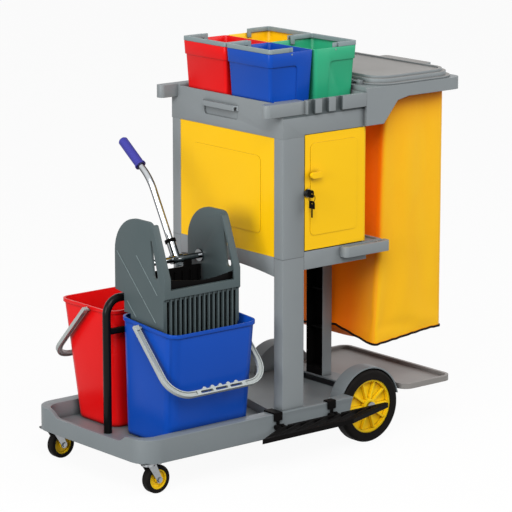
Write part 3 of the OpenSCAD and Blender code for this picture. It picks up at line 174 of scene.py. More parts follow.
@dataclass(frozen=True)
class Rubber:
    """Moulded rubber: near black, dull, with dusty clouds and a pebbled skin."""

    name: str
    colour: str
    dust: str
    roughness: float = 0.58
    cloud_mm: float = 26.0
    pebble_mm: float = 1.8
    pebbles: float = 0.25
    gloss: float = 0.04

    def material(self) -> bpy.types.Material:
        """Makes the material.

        Returns:
            The finished material.
        """
        material, tree, place = blank_material(self.name)
        clouds = add(tree, "TexNoise", {"Vector": place, "Scale": per_mm(self.cloud_mm), "Detail": 5.0})
        dusty = add(tree, "MapRange", {"Value": clouds.outputs["Fac"], 1: 0.45, 2: 0.8, 4: 0.6})
        colour = add(tree, "Mix", {0: dusty.outputs[0], 6: linear(self.colour), 7: linear(self.dust)},
                     data_type="RGBA")
        pebbles = add(tree, "TexVoronoi", {"Vector": place, "Scale": per_mm(self.pebble_mm)})
        bump = add(tree, "Bump", {"Height": pebbles.outputs["Distance"], "Strength": self.pebbles,
                                  "Distance": RELIEF})
        shader = add(tree, "BsdfPrincipled", {"Base Color": colour.outputs[2], "Roughness": self.roughness,
                                              "Normal": bump.outputs[0], "Specular IOR Level": self.gloss})
        add(tree, "OutputMaterial", {"Surface": shader.outputs[0]})
        return material


@dataclass(frozen=True)
class PlatedSteel:
    """Plated steel: bright metal whose plating is mirror-like for chrome and clouded for zinc."""

    name: str
    colour: str
    cloud: str
    roughness: float
    spread: float
    # Colour of the painted dark reflection on the far sides of a round bar.
    edge: str = "#2c2d2e"
    spangle_mm: float = 7.0

    def material(self) -> bpy.types.Material:
        """Makes the material.

        Returns:
            The finished material.
        """
        material, tree, place = blank_material(self.name)
        spangle = add(tree, "TexNoise", {"Vector": place, "Scale": per_mm(self.spangle_mm), "Detail": 3.0})
        colour = add(tree, "Mix", {0: spangle.outputs["Fac"], 6: linear(self.cloud), 7: linear(self.colour)},
                     data_type="RGBA")
        shine = add(tree, "MapRange", {"Value": spangle.outputs["Fac"], 3: self.roughness - self.spread,
                                       4: self.roughness + self.spread})
        # Painted reflection: the far sides of a round bar are darkened in colour, for the dark end of the
        # room that they would mirror.
        facing = add(tree, "LayerWeight", {"Blend": 0.5})
        rim = add(tree, "MapRange", {"Value": facing.outputs["Facing"], 1: 0.12, 2: 0.5})
        colour = add(tree, "Mix", {0: rim.outputs[0], 6: colour.outputs[2], 7: linear(self.edge)},
                     data_type="RGBA")
        shader = add(tree, "BsdfPrincipled", {"Base Color": colour.outputs[2], "Roughness": shine.outputs[0],
                                              "Metallic": 1.0})
        add(tree, "OutputMaterial", {"Surface": shader.outputs[0]})
        return material


@dataclass(frozen=True)
class CoatedCloth:
    """Coated nylon cloth: a tight plain weave under a satin film, with soft creases that catch the light."""

    name: str
    colour: str
    fold: str
    # Painted orange that stands for light through the cloth, in its shade and in its glow.
    painted_light_orange: str
    thread_mm: float = 2.0
    painted_shade_reach_mm: float = 260.0
    crease_mm: float = 60.0
    crease: float = 6 * MM
    # Span along Y over which the painted side light fades.
    painted_side_light_span: tuple[float, float] = (-90 * MM, -205 * MM)
    # Strength of the painted orange glow.
    glow: float = 0.11

    def material(self) -> bpy.types.Material:
        """Makes the material.

        Returns:
            The finished material.
        """
        material, tree, place = blank_material(self.name)
        stretched = add(tree, "Mapping", {"Vector": place, "Scale": (1.0, 1.0, 0.35)})
        creases = add(tree, "TexNoise", {"Vector": stretched.outputs[0], "Scale": per_mm(self.crease_mm),
                                         "Detail": 4.0, "Distortion": 0.6})
        colour = add(tree, "Mix", {0: creases.outputs["Fac"], 6: linear(self.fold), 7: linear(self.colour)},
                     data_type="RGBA")
        # Painted shade: where the cloth faces a near piece, its colour is painted orange, for the shade there
        # and the light that comes through the cloth.
        near = add(tree, "AmbientOcclusion", {"Distance": self.painted_shade_reach_mm * MM}, samples=8)
        share = add(tree, "MapRange", {"Value": near.outputs["AO"], 1: 0.5, 2: 0.97})
        # Painted glow: cloth that faces the cabinet or the floor is painted orange and glows, for light from
        # inside the bag that comes through the thin cloth.
        normal = add(tree, "SeparateXYZ", {0: add(tree, "NewGeometry").outputs["Normal"]})
        turned = add(tree, "Math", {0: normal.outputs["X"], 1: normal.outputs["Z"]}, operation="MINIMUM")
        painted_glow_mask = add(tree, "MapRange", {"Value": turned.outputs[0], 1: -0.9, 2: -0.45})
        # Painted light from the open side, fading along the front.
        across = add(tree, "SeparateXYZ", {0: place})
        inner, edge = self.painted_side_light_span
        painted_side_light = add(tree, "MapRange", {"Value": across.outputs["Y"], 1: inner, 2: edge, 4: 0.75})
        painted_glow_mask = add(tree, "Math", {0: painted_glow_mask.outputs[0], 1: painted_side_light.outputs[0]}, operation="MAXIMUM")
        glow = add(tree, "Mix", {0: painted_glow_mask.outputs[0], 6: linear(self.painted_light_orange), 7: linear("#000000")},
                   data_type="RGBA")
        share = add(tree, "Math", {0: share.outputs[0], 1: painted_glow_mask.outputs[0]}, operation="MINIMUM")
        colour = add(tree, "Mix", {0: share.outputs[0], 6: linear(self.painted_light_orange), 7: colour.outputs[2]},
                     data_type="RGBA")
        # Threads are drawn coarser than the real ones, which are too fine to show.
        thread = {"Vector": place, "Scale": per_mm(self.thread_mm) / 20}
        weave = [add(tree, "TexWave", thread, bands_direction=axis) for axis in ("DIAGONAL", "Z")]
        cloth = add(tree, "Math", {0: weave[0].outputs["Fac"], 1: weave[1].outputs["Fac"]}, operation="ADD")
        threads = add(tree, "Bump", {"Height": cloth.outputs[0], "Strength": 0.08, "Distance": RELIEF})
        bump = add(tree, "Bump", {"Height": creases.outputs["Fac"], "Strength": 0.35, "Distance": self.crease,
                                  "Normal": threads.outputs[0]})
        # The emission is a painted glow: the cloth is no lamp.
        shader = add(tree, "BsdfPrincipled", {"Base Color": colour.outputs[2], "Roughness": 0.45,
                                              "Specular IOR Level": 0.2, "Sheen Weight": 0.1,
                                              "Sheen Roughness": 0.4, "Normal": bump.outputs[0],
                                              "Emission Color": glow.outputs[2],
                                              "Emission Strength": self.glow})
        add(tree, "OutputMaterial", {"Surface": shader.outputs[0]})
        return material


class Finish(Enum):
    """Every finish on the cart, by the part of it that wears the finish."""

    GREY = MouldedPlastic("polypropylene_grey", "#888e90", "#82888b")
    # Painted shade: a darker copy of the body grey, for the shade that falls low on the cart.
    DECK_GREY = MouldedPlastic("polypropylene_grey_painted_shade_deck", "#7b8285", "#757c7f")
    # Painted shade: a dark grey put on the walls of the tray's notches, where there is only shade.
    DARK_GREY = MouldedPlastic("polypropylene_grey_painted_notch_shade", "#565e60", "#50585a")
    # Painted light: a warmer copy of the body grey, for the warm light that falls on top faces.
    WARM_GREY = MouldedPlastic("polypropylene_grey_painted_warm_light", "#8f8c89", "#888582")
    SLATE = MouldedPlastic("polypropylene_slate", "#4e5a5c", "#485456", 0.45)
    BLACK = MouldedPlastic("polypropylene_black", "#100f0f", "#141313", 0.46, gloss=0.02)
    YELLOW = MouldedPlastic("polypropylene_yellow", "#fec90a", "#fcc408", 0.36, edge_mm=0.4)
    HUB = MouldedPlastic("polypropylene_lemon", "#fbd214", "#f8cd10", 0.36, painted_shade_mm=5.0)
    TUBE = MouldedPlastic("powder_coated_steel_black", "#0d0d0d", "#111111", 0.24, gloss=0.12)
    RED = MouldedPlastic("polypropylene_red", "#e61112", "#e00e10", 0.3, gloss=0.18)
    BLUE = MouldedPlastic("polypropylene_blue", "#124bb0", "#0e46a8", 0.3, gloss=0.15)
    GREEN = MouldedPlastic("polypropylene_green", "#30aa7d", "#2ca477", 0.32)
    PALE = MouldedPlastic("polypropylene_pale_grey", "#b0b6b4", "#a8aeac", 0.36)
    # Real grey of the bails, and the painted highlight on the wringer's cheek lines.
    BAIL_GREY = MouldedPlastic("polypropylene_bail_grey_and_painted_highlight", "#879698", "#7f8e90", 0.38)
    GRIP = MouldedPlastic("vinyl_grip_blue", "#40409b", "#383890", 0.5, 3.0, 0.5)
    TYRE = Rubber("moulded_tyre_rubber", "#171514", "#211e1b")
    PIPING = Rubber("vinyl_piping_black", "#1a1613", "#2a231c", 0.5)
    CHROME = PlatedSteel("chrome_plated_tube", "#d5d8da", "#c8cccf", 0.1, 0.03)
    ZINC = PlatedSteel("zinc_plated_steel", "#c2c5c8", "#a4a8ab", 0.3, 0.08)
    CLOTH = CoatedCloth("coated_nylon_cloth", "#ffc61c", "#fcba14", "#fc7600")


def material_of(finish: Finish) -> bpy.types.Material:
    """Gives a finish's material, and makes it the first time.

    Args:
        finish: the finish that is needed.

    Returns:
        Its one material.
    """
    return bpy.data.materials.get(finish.value.name) or finish.value.material()


def wear(piece: bpy.types.Object, finish: Finish) -> None:
    """Puts one finish on a whole piece.

    Args:
        piece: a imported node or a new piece.
        finish: what it is made of.
    """
    if not piece.material_slots:
        piece.data.materials.append(material_of(finish))
    for slot in piece.material_slots:
        slot.material = material_of(finish)


@contextmanager
def editing(piece: bpy.types.Object) -> Iterator[None]:
    """Opens one piece in edit mode, and closes it again.

    Args:
        piece: the piece to open.
    """
    bpy.ops.object.select_all(action="DESELECT")
    piece.select_set(True)
    bpy.context.view_layer.objects.active = piece
    bpy.ops.object.mode_set(mode="EDIT")
    yield
    bpy.ops.object.mode_set(mode="OBJECT")


def pick(piece: bpy.types.Object, kind: Pick, test: Test) -> None:
    """Selects what passes a test in the piece that is open, and nothing else.

    Args:
        piece: the piece in edit mode.
        kind: edges or faces.
        test: takes a middle, and a face's normal or an edge's direction.
    """
    bpy.ops.mesh.select_mode(type=kind.value)
    bpy.ops.mesh.select_all(action="DESELECT")
    mesh = bmesh.from_edit_mesh(piece.data)
    mesh.normal_update()
    if kind is Pick.FACES:
        parts = [(f, f.calc_center_median(), f.normal) for f in mesh.faces]
    else:
        parts = [(e, (e.verts[0].co + e.verts[1].co) / 2, (e.verts[1].co - e.verts[0].co).normalized())
                 for e in mesh.edges]
    for part, middle, way in parts:
        if test(middle, way):
            part.select_set(True)
    mesh.select_flush_mode()
    bmesh.update_edit_mesh(piece.data)


def pick_border() -> None:
    """Selects the open border of the piece in edit mode."""
    bpy.ops.mesh.select_mode(type="EDGE")
    bpy.ops.mesh.select_all(action="DESELECT")
    bpy.ops.mesh.select_non_manifold(extend=False, use_wire=False, use_boundary=True, use_multi_face=False,
                                     use_non_contiguous=False, use_verts=False)


def cut(place: Sequence[float], way: Sequence[float], clear: bool = False) -> None:
    """Cuts the whole piece in edit mode along a plane.

    Args:
        place: a point on the plane.
        way: the plane's normal.
        clear: whether what lies ahead of the plane is removed.
    """
    bpy.ops.mesh.select_all(action="SELECT")
    bpy.ops.mesh.bisect(plane_co=place, plane_no=way, clear_outer=clear)


def block(name: str, low: Sequence[float], high: Sequence[float]) -> bpy.types.Object:
    """Adds a block to start a piece from.

    Args:
        name: name of the piece.
        low: lowest corner.
        high: highest corner.

    Returns:
        The block, with its place in its mesh.
    """
    bpy.ops.object.select_all(action="DESELECT")
    low, high = Vector(low), Vector(high)
    bpy.ops.mesh.primitive_cube_add(size=1, location=(low + high) / 2)
    piece = bpy.context.object
    piece.name = piece.data.name = name
    piece.scale = high - low
    bpy.ops.object.transform_apply(location=True, rotation=True, scale=True)
    return piece


def rod(name: str, ends: tuple[Sequence[float], Sequence[float]], radius: float,
        sides: int) -> bpy.types.Object:
    """Adds a round bar to start a piece from.

    Args:
        name: name of the piece.
        ends: middles of its two ends.
        radius: its radius.
        sides: how many faces go round it.

    Returns:
        The bar, with its place in its mesh.
    """
    bpy.ops.object.select_all(action="DESELECT")
    start, end = (Vector(e) for e in ends)
    bpy.ops.mesh.primitive_cylinder_add(vertices=sides, radius=radius, depth=(end - start).length,
                                        location=(start + end) / 2,
                                        rotation=(end - start).to_track_quat("Z", "Y").to_euler())
    piece = bpy.context.object
    piece.name = piece.data.name = name
    bpy.ops.object.transform_apply(location=True, rotation=True, scale=True)
    return piece


def join(pieces: Sequence[bpy.types.Object]) -> bpy.types.Object:
    """Joins pieces into the first of them.

    Args:
        pieces: the pieces, the one that is kept first.

    Returns:
        The piece that is kept.
    """
    bpy.ops.object.select_all(action="DESELECT")
    for piece in pieces:
        piece.select_set(True)
    bpy.context.view_layer.objects.active = pieces[0]
    bpy.ops.object.join()
    return pieces[0]


def copy_of(piece: bpy.types.Object, name: str, shift: Vector, mirror_x: float | None) -> bpy.types.Object:
    """Copies a finished piece with its own mesh.

    Args:
        piece: the piece to copy.
        name: name of the copy.
        shift: how far the copy is moved.
        mirror_x: plane across X that the copy is mirrored in before it is moved, or None.

    Returns:
        The copy, with its place in its mesh.
    """
    bpy.ops.object.select_all(action="DESELECT")
    piece.select_set(True)
    bpy.context.view_layer.objects.active = piece
    bpy.ops.object.duplicate()
    twin = bpy.context.object
    twin.name = twin.data.name = name
    if mirror_x is not None:
        twin.scale.x = -1
        twin.location.x = 2 * mirror_x
    twin.location += shift
    bpy.ops.object.transform_apply(location=True, rotation=True, scale=True)
    if mirror_x is not None:
        with editing(twin):
            bpy.ops.mesh.select_all(action="SELECT")
            bpy.ops.mesh.flip_normals()
    return twin


def apply_modifiers(piece: bpy.types.Object) -> None:
    """Applies every modifier of a piece, in order."""
    bpy.ops.object.select_all(action="DESELECT")
    piece.select_set(True)
    bpy.context.view_layer.objects.active = piece
    for modifier in list(piece.modifiers):
        bpy.ops.object.modifier_apply(modifier=modifier.name)


def smooth(piece: bpy.types.Object, degrees: float) -> None:
    """Shades a piece smooth, except across edges sharper than an angle."""
    bpy.ops.object.select_all(action="DESELECT")
    piece.select_set(True)
    bpy.context.view_layer.objects.active = piece
    bpy.ops.object.shade_smooth_by_angle(angle=math.radians(degrees))


def round_edges(piece: bpy.types.Object, width: float, segments: int) -> None:
    """Adds a modifier that rounds the sharp edges of a piece.

    Args:
        piece: a new piece.
        width: width of the rounding, in metres.
        segments: facets across it.
    """
    bevel = piece.modifiers.new("Soft edges", "BEVEL")
    bevel.width = width
    bevel.segments = segments
    bevel.limit_method = "ANGLE"
    bevel.angle_limit = math.radians(30)
    bevel.miter_outer = "MITER_ARC"


def settle(piece: bpy.types.Object, body: str, node: str | None, finish: Finish) -> None:
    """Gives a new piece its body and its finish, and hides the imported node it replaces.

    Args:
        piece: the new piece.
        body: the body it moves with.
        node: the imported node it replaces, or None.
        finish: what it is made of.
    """
    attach(piece, body)
    if node:
        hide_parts(node)
    wear(piece, finish)
    LOG.info("piece %s rides on %s", piece.name, body)


@dataclass
class MopBucket:
    """Tapered bucket with a turned-out rim and an ear for its bail at each end."""

    name: str
    node: str
    body: str
    slot: str
    finish: Finish
    outer: int
    draft: float
    drop: float
    rim: float = 8 * MM
    wall: float = 3 * MM
    draft_x: float = 8 * MM
    corner: float = 30 * MM
    foot: float = 9 * MM
    turn_down: float = 9 * MM
    soft: float = 1.2 * MM
    pivot_share: float = 0.42
    pivot_drop: float = 13 * MM
    boss_radius: float = 10 * MM
    boss_out: float = 2.8 * MM
    boss_ring: float = 4 * MM

    def build(self) -> bpy.types.Object:
        """Models the bucket inside its node's box.

        Returns:
            The finished bucket.
        """
        low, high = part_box(self.node)
        inner = (low.y if self.outer > 0 else high.y) + self.outer * self.rim
        outer = (high.y if self.outer > 0 else low.y) - self.outer * self.rim
        x0, x1 = low.x + self.rim, high.x - self.rim
        top = high.z - self.wall
        foot_y = outer - self.outer * self.draft
        piece = block(self.name, (x0 + self.draft_x, min(inner, foot_y), low.z),
                      (x1 - self.draft_x, max(inner, foot_y), top))
        middle = Vector(((x0 + x1) / 2, inner, top))
        with editing(piece):
            pick(piece, Pick.FACES, lambda m, n: n.z > 0.9)
            bpy.ops.transform.resize(value=((x1 - x0) / (x1 - x0 - 2 * self.draft_x),
                                            (outer - inner) / (foot_y - inner), 1), center_override=middle)
            pick(piece, Pick.EDGES, lambda m, d: abs(d.z) > 0.7)
            bpy.ops.mesh.bevel(offset=self.corner, segments=8)
            pick(piece, Pick.EDGES, lambda m, d: m.z < low.z + 1e-5)
            bpy.ops.mesh.bevel(offset=self.foot, segments=4)
            pick(piece, Pick.FACES, lambda m, n: n.z > 0.9)
            bpy.ops.mesh.delete(type="FACE")
            lean = self.drop / (high.y - low.y) * self.outer
            if self.drop:
                cut(middle - Vector((0, self.outer * self.rim, 0)), (0, lean, 1), clear=True)
            self.turn_rim(Vector(((x0 + x1) / 2, (inner + outer) / 2, 0)), (x1 - x0) / 2,
                          abs(outer - inner) / 2)
            bpy.ops.mesh.select_all(action="SELECT")
            bpy.ops.mesh.normals_make_consistent(inside=False)
        wall = piece.modifiers.new("Wall", "SOLIDIFY")
        wall.thickness = self.wall
        wall.use_even_offset = True
        round_edges(piece, self.soft, 3)
        apply_modifiers(piece)
        pivot_y = inner - self.outer * self.rim + self.outer * self.pivot_share * (high.y - low.y)
        pivot_z = high.z - self.pivot_drop - self.pivot_share * self.drop
        ears = [self.ear(f"{self.name}_ear_{i}", x, way, pivot_y, pivot_z)
                for i, (x, way) in enumerate(((x0, -1), (x1, 1)))]
        piece = join([piece, *ears])
        smooth(piece, 40)
        return piece

    def ear(self, name: str, x: float, way: int, y: float, z: float) -> bpy.types.Object:
        """Models the boss that a bail's pivot turns in.

        Args:
            name: name of the boss.
            x: where the wall is.
            way: -1 or 1, the side that faces out.
            y: middle of the pivot along Y.
            z: middle of the pivot along Z.

        Returns:
            The boss.
        """
        boss = rod(name, ((x - way * 1.0 * MM, y, z), (x + way * self.boss_out, y, z)), self.boss_radius, 32)
        with editing(boss):
            pick(boss, Pick.FACES, lambda m, n: n.x * way > 0.9)
            bpy.ops.mesh.inset(thickness=self.boss_ring)
            bpy.ops.transform.translate(value=(-way * 1.2 * MM, 0, 0))
            pick(boss, Pick.EDGES, lambda m, d: m.x * way > (x + way * 2.5 * MM) * way)
            bpy.ops.mesh.bevel(offset=0.8 * MM, segments=2)
        return boss

    def turn_rim(self, middle: Vector, half_x: float, half_y: float) -> None:
        """Turns the open edge of the bucket out and down.

        Args:
            middle: the middle of the mouth.
            half_x: half the length of the mouth.
            half_y: half its width.
        """
        flange = self.rim - self.wall
        pick_border()
        bpy.ops.mesh.extrude_edges_move()
        bpy.ops.transform.resize(value=(1 + flange / half_x, 1 + flange / half_y, 1), center_override=middle)
        bpy.ops.mesh.extrude_edges_move(TRANSFORM_OT_translate={"value": (0, 0, -self.turn_down)})

    def dress(self) -> None:
        """Builds the bucket and settles it."""
        settle(self.build(), self.body, self.node, self.finish)


@dataclass
class SmallBuckets:
    """The four small buckets: a flush rim band, and a sunk panel that wraps round the outer side."""

    band: float = 36 * MM
    step: float = 3.5 * MM
    draft: float = 10 * MM
    wall: float = 2.5 * MM
    corner: float = 12 * MM
    flush: float = 55 * MM
    panel_corner: float = 12 * MM
    soft: float = 1.0 * MM
    near: float = 2 * MM

    def build(self) -> bpy.types.Object:
        """Models the bucket nearest the camera.

        Returns:
            The finished bucket.
        """
        low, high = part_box("pail_blue")
        d = self.draft
        piece = block("small_bucket_blue", (low.x + d, low.y + d, low.z), (high.x - d, high.y - d, high.z))
        middle = (low + high) / 2
        size = high - low
        ledge, split = high.z - self.band, high.x - self.flush
        with editing(piece):
            pick(piece, Pick.FACES, lambda m, n: n.z > 0.9)
            bpy.ops.transform.resize(value=(size.x / (size.x - 2 * d), size.y / (size.y - 2 * d), 1),
                                     center_override=middle)
            pick(piece, Pick.EDGES, lambda m, e: abs(e.z) > 0.7)
            bpy.ops.mesh.bevel(offset=self.corner, segments=5)
            pick(piece, Pick.FACES, lambda m, n: n.z > 0.9)
            bpy.ops.mesh.delete(type="FACE")
            cut((0, 0, ledge), (0, 0, 1))
            cut((split, 0, 0), (1, 0, 0))
            pick(piece, Pick.FACES, lambda m, n: m.z < ledge and m.x < split and abs(n.z) < 0.5)
            bpy.ops.mesh.extrude_region_shrink_fatten(TRANSFORM_OT_shrink_fatten={"value": -self.step})
            pick(piece, Pick.EDGES, lambda m, e: abs(e.y) > 0.9 and abs(m.z - ledge) < self.near
                 and abs(m.x - split) < self.near)
            bpy.ops.mesh.bevel(offset=self.panel_corner, segments=5)
            bpy.ops.mesh.select_all(action="SELECT")
            bpy.ops.mesh.normals_make_consistent(inside=False)
        wall = piece.modifiers.new("Wall", "SOLIDIFY")
        wall.thickness = self.wall
        wall.use_even_offset = True
        round_edges(piece, self.soft, 2)
        apply_modifiers(piece)
        smooth(piece, 40)
        return piece

    def dress(self) -> None:
        """Builds one bucket, copies it three times and settles all four."""
        blue = self.build()
        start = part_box("pail_blue")
        middle = (start[0].x + start[1].x) / 2
        for colour, finish, slot, turned in (("red", Finish.RED, "red_plastic", False),
                                             ("yellow", Finish.YELLOW, "small_yellow_plastic", True),
                                             ("green", Finish.GREEN, "green_plastic", True)):
            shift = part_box(f"pail_{colour}")[0] - start[0]
            twin = copy_of(blue, f"small_bucket_{colour}", shift, middle if turned else None)
            settle(twin, f"{colour}_pail", f"pail_{colour}", finish)
        settle(blue, "blue_pail", "pail_blue", Finish.BLUE)


@dataclass
class WasteBag:
    """Hanging bag of coated cloth, with dark piping sewn round its bottom edge."""

    cell: float = 14 * MM
    corner: float = 15 * MM
    wall: float = 1.4 * MM
    lean: float = 34 * MM
    sag: float = 8 * MM
    droop: float = 22 * MM
    arch: float = 32 * MM
    tilt: float = 19 * MM
    belly: float = 70 * MM
    piping: float = 3.2 * MM
    inset: float = 2 * MM
    hem: float = 27 * MM
    ripple: float = 0.8 * MM
    frames: int = 6

    def edge_rise(self, u: float, v: float) -> float:
        """Height of the sewn bottom edge over its corners, carried across the bottom.

        Args:
            u: share of the way from the front to the back.
            v: share of the way from the near side to the far side.

        Returns:
            The rise in metres.
        """
        ripple = self.ripple * math.sin(70 * u + 50 * v)
        front = self.arch * min(v / 0.4, (1 - v) / 0.6) * max(0.0, 1 - 5 * u)
        return front + self.tilt * min(1.0, u / 0.8) + ripple

    def fold(self, u: float, v: float, up: float) -> tuple[float, float]:
        """Soft upright folds and slanted creases in the walls.

        Args:
            u: share of the way from the front to the back.
            v: share of the way from the near side to the far side.
            up: share of the way from the bottom edge to the hem.

        Returns:
            How far the wall moves along X and Y.
        """
        free = 4 * up * (1 - up)
        front = 3.0 * math.sin(11 * v + 2 * up) + 1.5 * math.sin(17 * v - 9 * up)
        side = 3.0 * math.sin(9 * u + 1.6 * up) + 1.8 * math.sin(7 * u + 11 * up)
        return free * math.sin(math.pi * v) * front * MM, free * math.sin(math.pi * u) * side * MM

    def loft(self) -> bpy.types.Object:
        """Models the open bag as a grid of small cells.

        Returns:
            The bag before it hangs, with its bottom edge in the group named seam.
        """
        low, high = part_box("waste_bag")
        foot = low.z + self.sag
        bag = block("waste_bag_cloth", (low.x + self.inset, low.y + self.inset, foot),
                    (high.x - self.inset, high.y - self.inset, high.z))
        with editing(bag):
            pick(bag, Pick.FACES, lambda m, n: n.z > 0.9)
            bpy.ops.mesh.delete(type="FACE")
            pick(bag, Pick.EDGES, lambda m, d: abs(d.z) > 0.9)
            bpy.ops.mesh.bevel(offset=self.corner, segments=3)
            for axis in range(3):
                start, end = (low[axis], high[axis]) if axis < 2 else (foot, high.z)
                margin = self.corner if axis < 2 else 0
                count = round((end - start - 2 * margin) / self.cell)
                way = [float(i == axis) for i in range(3)]
                for i in range(1, count):
                    place = [0.0, 0.0, 0.0]
                    place[axis] = start + margin + (end - start - 2 * margin) * i / count
                    cut(place, way)
        self.form(bag, low, high, foot)
        return bag

    def form(self, bag: bpy.types.Object, low: Vector, high: Vector, foot: float) -> None:
        """Leans the bag, arches its bottom edge, lets its bottom sag and folds its walls.

        Args:
            bag: the plain bag.
            low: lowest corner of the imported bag.
            high: its highest corner.
            foot: height of the plain bag's bottom.
        """
        bottom = {v for face in bag.data.polygons if abs(face.normal.z) > 0.9 for v in face.vertices}
        walls = {v for face in bag.data.polygons if abs(face.normal.z) < 0.9 for v in face.vertices}
        bag.vertex_groups.new(name="seam").add(sorted(bottom & walls), 1.0, "REPLACE")
        for point in bag.data.vertices:
            u = (point.co.x - low.x) / (high.x - low.x)
            v = (point.co.y - low.y) / (high.y - low.y)
            up = (point.co.z - foot) / (high.z - foot)
            inside = min(point.co.x - low.x, high.x - point.co.x, point.co.y - low.y, high.y - point.co.y)
            rise = self.edge_rise(u, v)
            if point.index in bottom:
                deep = max(0.0, min(1.0, (inside - self.inset) / self.belly)) ** 0.7
                hollow = self.tilt * u - self.droop * (1 - u) * min(1.0, v / 0.4)
                point.co.z += rise * (1 - deep) + hollow * deep
            else:
                along, across = self.fold(u, v, up)
                point.co.x += along if min(u, 1 - u) < 0.1 else 0.0
                point.co.y += across if min(v, 1 - v) < 0.1 else 0.0
                point.co.z += rise * (1 - up) ** 5
            point.co.x += self.lean * up * max(0.0, min(1.0, (0.92 - u) / 0.92))

    def hang(self, bag: bpy.types.Object) -> None:
        """Lets the cloth hang from its hem for a moment.

        Args:
            bag: the lofted bag.
        """
        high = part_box("waste_bag")[1].z
        hem = bag.vertex_groups.new(name="hem")
        hem.add([p.index for p in bag.data.vertices if p.co.z > high - self.hem], 1.0, "REPLACE")
        # The bottom is stiffened by a board, so that it barely gives.
        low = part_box("waste_bag")[0].z + self.sag
        hem.add([p.index for p in bag.data.vertices if p.co.z < low + self.arch + self.inset], 0.9, "REPLACE")
        cloth = bag.modifiers.new("Cloth", "CLOTH")
        cloth.settings.quality = 6
        cloth.settings.mass = 0.15
        cloth.settings.tension_stiffness = 40
        cloth.settings.compression_stiffness = 40
        cloth.settings.shear_stiffness = 20
        cloth.settings.bending_stiffness = 0.8
        cloth.settings.vertex_group_mass = "hem"
        cloth.point_cache.frame_start = 1
        cloth.point_cache.frame_end = self.frames
        scene = bpy.context.scene
        for number in range(1, self.frames + 1):
            scene.frame_set(number)
        apply_modifiers(bag)
        scene.frame_set(1)

    def sew_piping(self, bag: bpy.types.Object) -> bpy.types.Object:
        """Draws the piping along the bag's bottom edge.

        Args:
            bag: the bag as it hangs.

        Returns:
            The finished piping.
        """
        bag.vertex_groups.active = bag.vertex_groups["seam"]
        with editing(bag):
            bpy.ops.mesh.select_mode(type="EDGE")
            bpy.ops.mesh.select_all(action="DESELECT")
            bpy.ops.object.vertex_group_select()
            # The sewn edge stays sharp when the bag is made finer.
            bpy.ops.transform.edge_crease(value=1.0)
            bpy.ops.mesh.duplicate()
            bpy.ops.mesh.separate(type="SELECTED")
        cord = next(o for o in bpy.context.selected_objects if o is not bag)
        cord.name = cord.data.name = "waste_bag_piping"
        with editing(cord):
            bpy.ops.mesh.select_all(action="SELECT")
            bpy.ops.mesh.delete(type="ONLY_FACE")
        bpy.ops.object.convert(target="CURVE")
        cord.data.bevel_depth = self.piping
        cord.data.bevel_resolution = 3
        bpy.ops.object.convert(target="MESH")
        smooth(cord, 60)
        return cord

    def dress(self) -> None:
        """Builds the bag, hangs it, and settles it with its piping."""
        bag = self.loft()
        self.hang(bag)
        piping = self.sew_piping(bag)
        finer = bag.modifiers.new("Finer", "SUBSURF")
        finer.levels = finer.render_levels = 1
        wall = bag.modifiers.new("Wall", "SOLIDIFY")
        wall.thickness = self.wall
        apply_modifiers(bag)
        smooth(bag, 60)
        settle(bag, "cart_frame", "waste_bag", Finish.CLOTH)
        settle(piping, "cart_frame", None, Finish.PIPING)


def merged_copy(node: str, name: str) -> bpy.types.Object:
    """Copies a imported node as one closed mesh, to be shaped further.

    Args:
        node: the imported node.
        name: name of the copy.

    Returns:
        The copy, with its place in its mesh.
    """
    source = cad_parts[node]
    piece = bpy.data.objects.new(name, source.data.copy())
    piece.data.name = name
    piece.data.transform(source.matrix_world)
    bpy.context.scene.collection.objects.link(piece)
    with editing(piece):
        bpy.ops.mesh.select_all(action="SELECT")
        bpy.ops.mesh.remove_doubles(threshold=0.01 * MM)
        bpy.ops.mesh.customdata_custom_splitnormals_clear()
        bpy.ops.mesh.dissolve_limited(angle_limit=math.radians(0.5))
    return piece


def pick_ridges(piece: bpy.types.Object, test: Test) -> int:
    """Selects the sharp outward edges that pass a test, in the piece that is open.

    Args:
        piece: the piece in edit mode.
        test: takes an edge's middle and direction.

    Returns:
        How many passed.
    """
    bpy.ops.mesh.select_mode(type="EDGE")
    bpy.ops.mesh.select_all(action="DESELECT")
    mesh = bmesh.from_edit_mesh(piece.data)
    mesh.normal_update()
    sharp = math.radians(50)
    chosen = [e for e in mesh.edges if len(e.link_faces) == 2 and e.calc_face_angle_signed() > sharp
              and test((e.verts[0].co + e.verts[1].co) / 2, (e.verts[1].co - e.verts[0].co).normalized())]
    for edge in chosen:
        edge.select_set(True)
    bmesh.update_edit_mesh(piece.data)
    return len(chosen)


@dataclass
class SoftMoulding:
    """An imported moulding with rounder edges, and another finish on some of its faces."""

    node: str
    body: str
    slot: str
    finish: Finish
    radius: float
    where: Test
    inlay: tuple[Finish, Test] | None = None
    split: tuple[Sequence[float], Sequence[float]] | None = None

    def dress(self) -> None:
        """Rounds and splits a copy of the moulding, settles it, and gives its inlay another finish."""
        piece = merged_copy(self.node, f"{self.node}_moulding")
        with editing(piece):
            count = pick_ridges(piece, self.where)
            bpy.ops.mesh.bevel(offset=self.radius, segments=3, clamp_overlap=True, loop_slide=False)
            if self.split:
                cut(*self.split)
        smooth(piece, 35)
        settle(piece, self.body, self.node, self.finish)
        LOG.info("%s has %d rounded edges", self.node, count)
        if self.inlay:
            piece.data.materials.append(material_of(self.inlay[0]))
            piece.active_material_index = 1
            with editing(piece):
                pick(piece, Pick.FACES, self.inlay[1])
                bpy.ops.object.material_slot_assign()


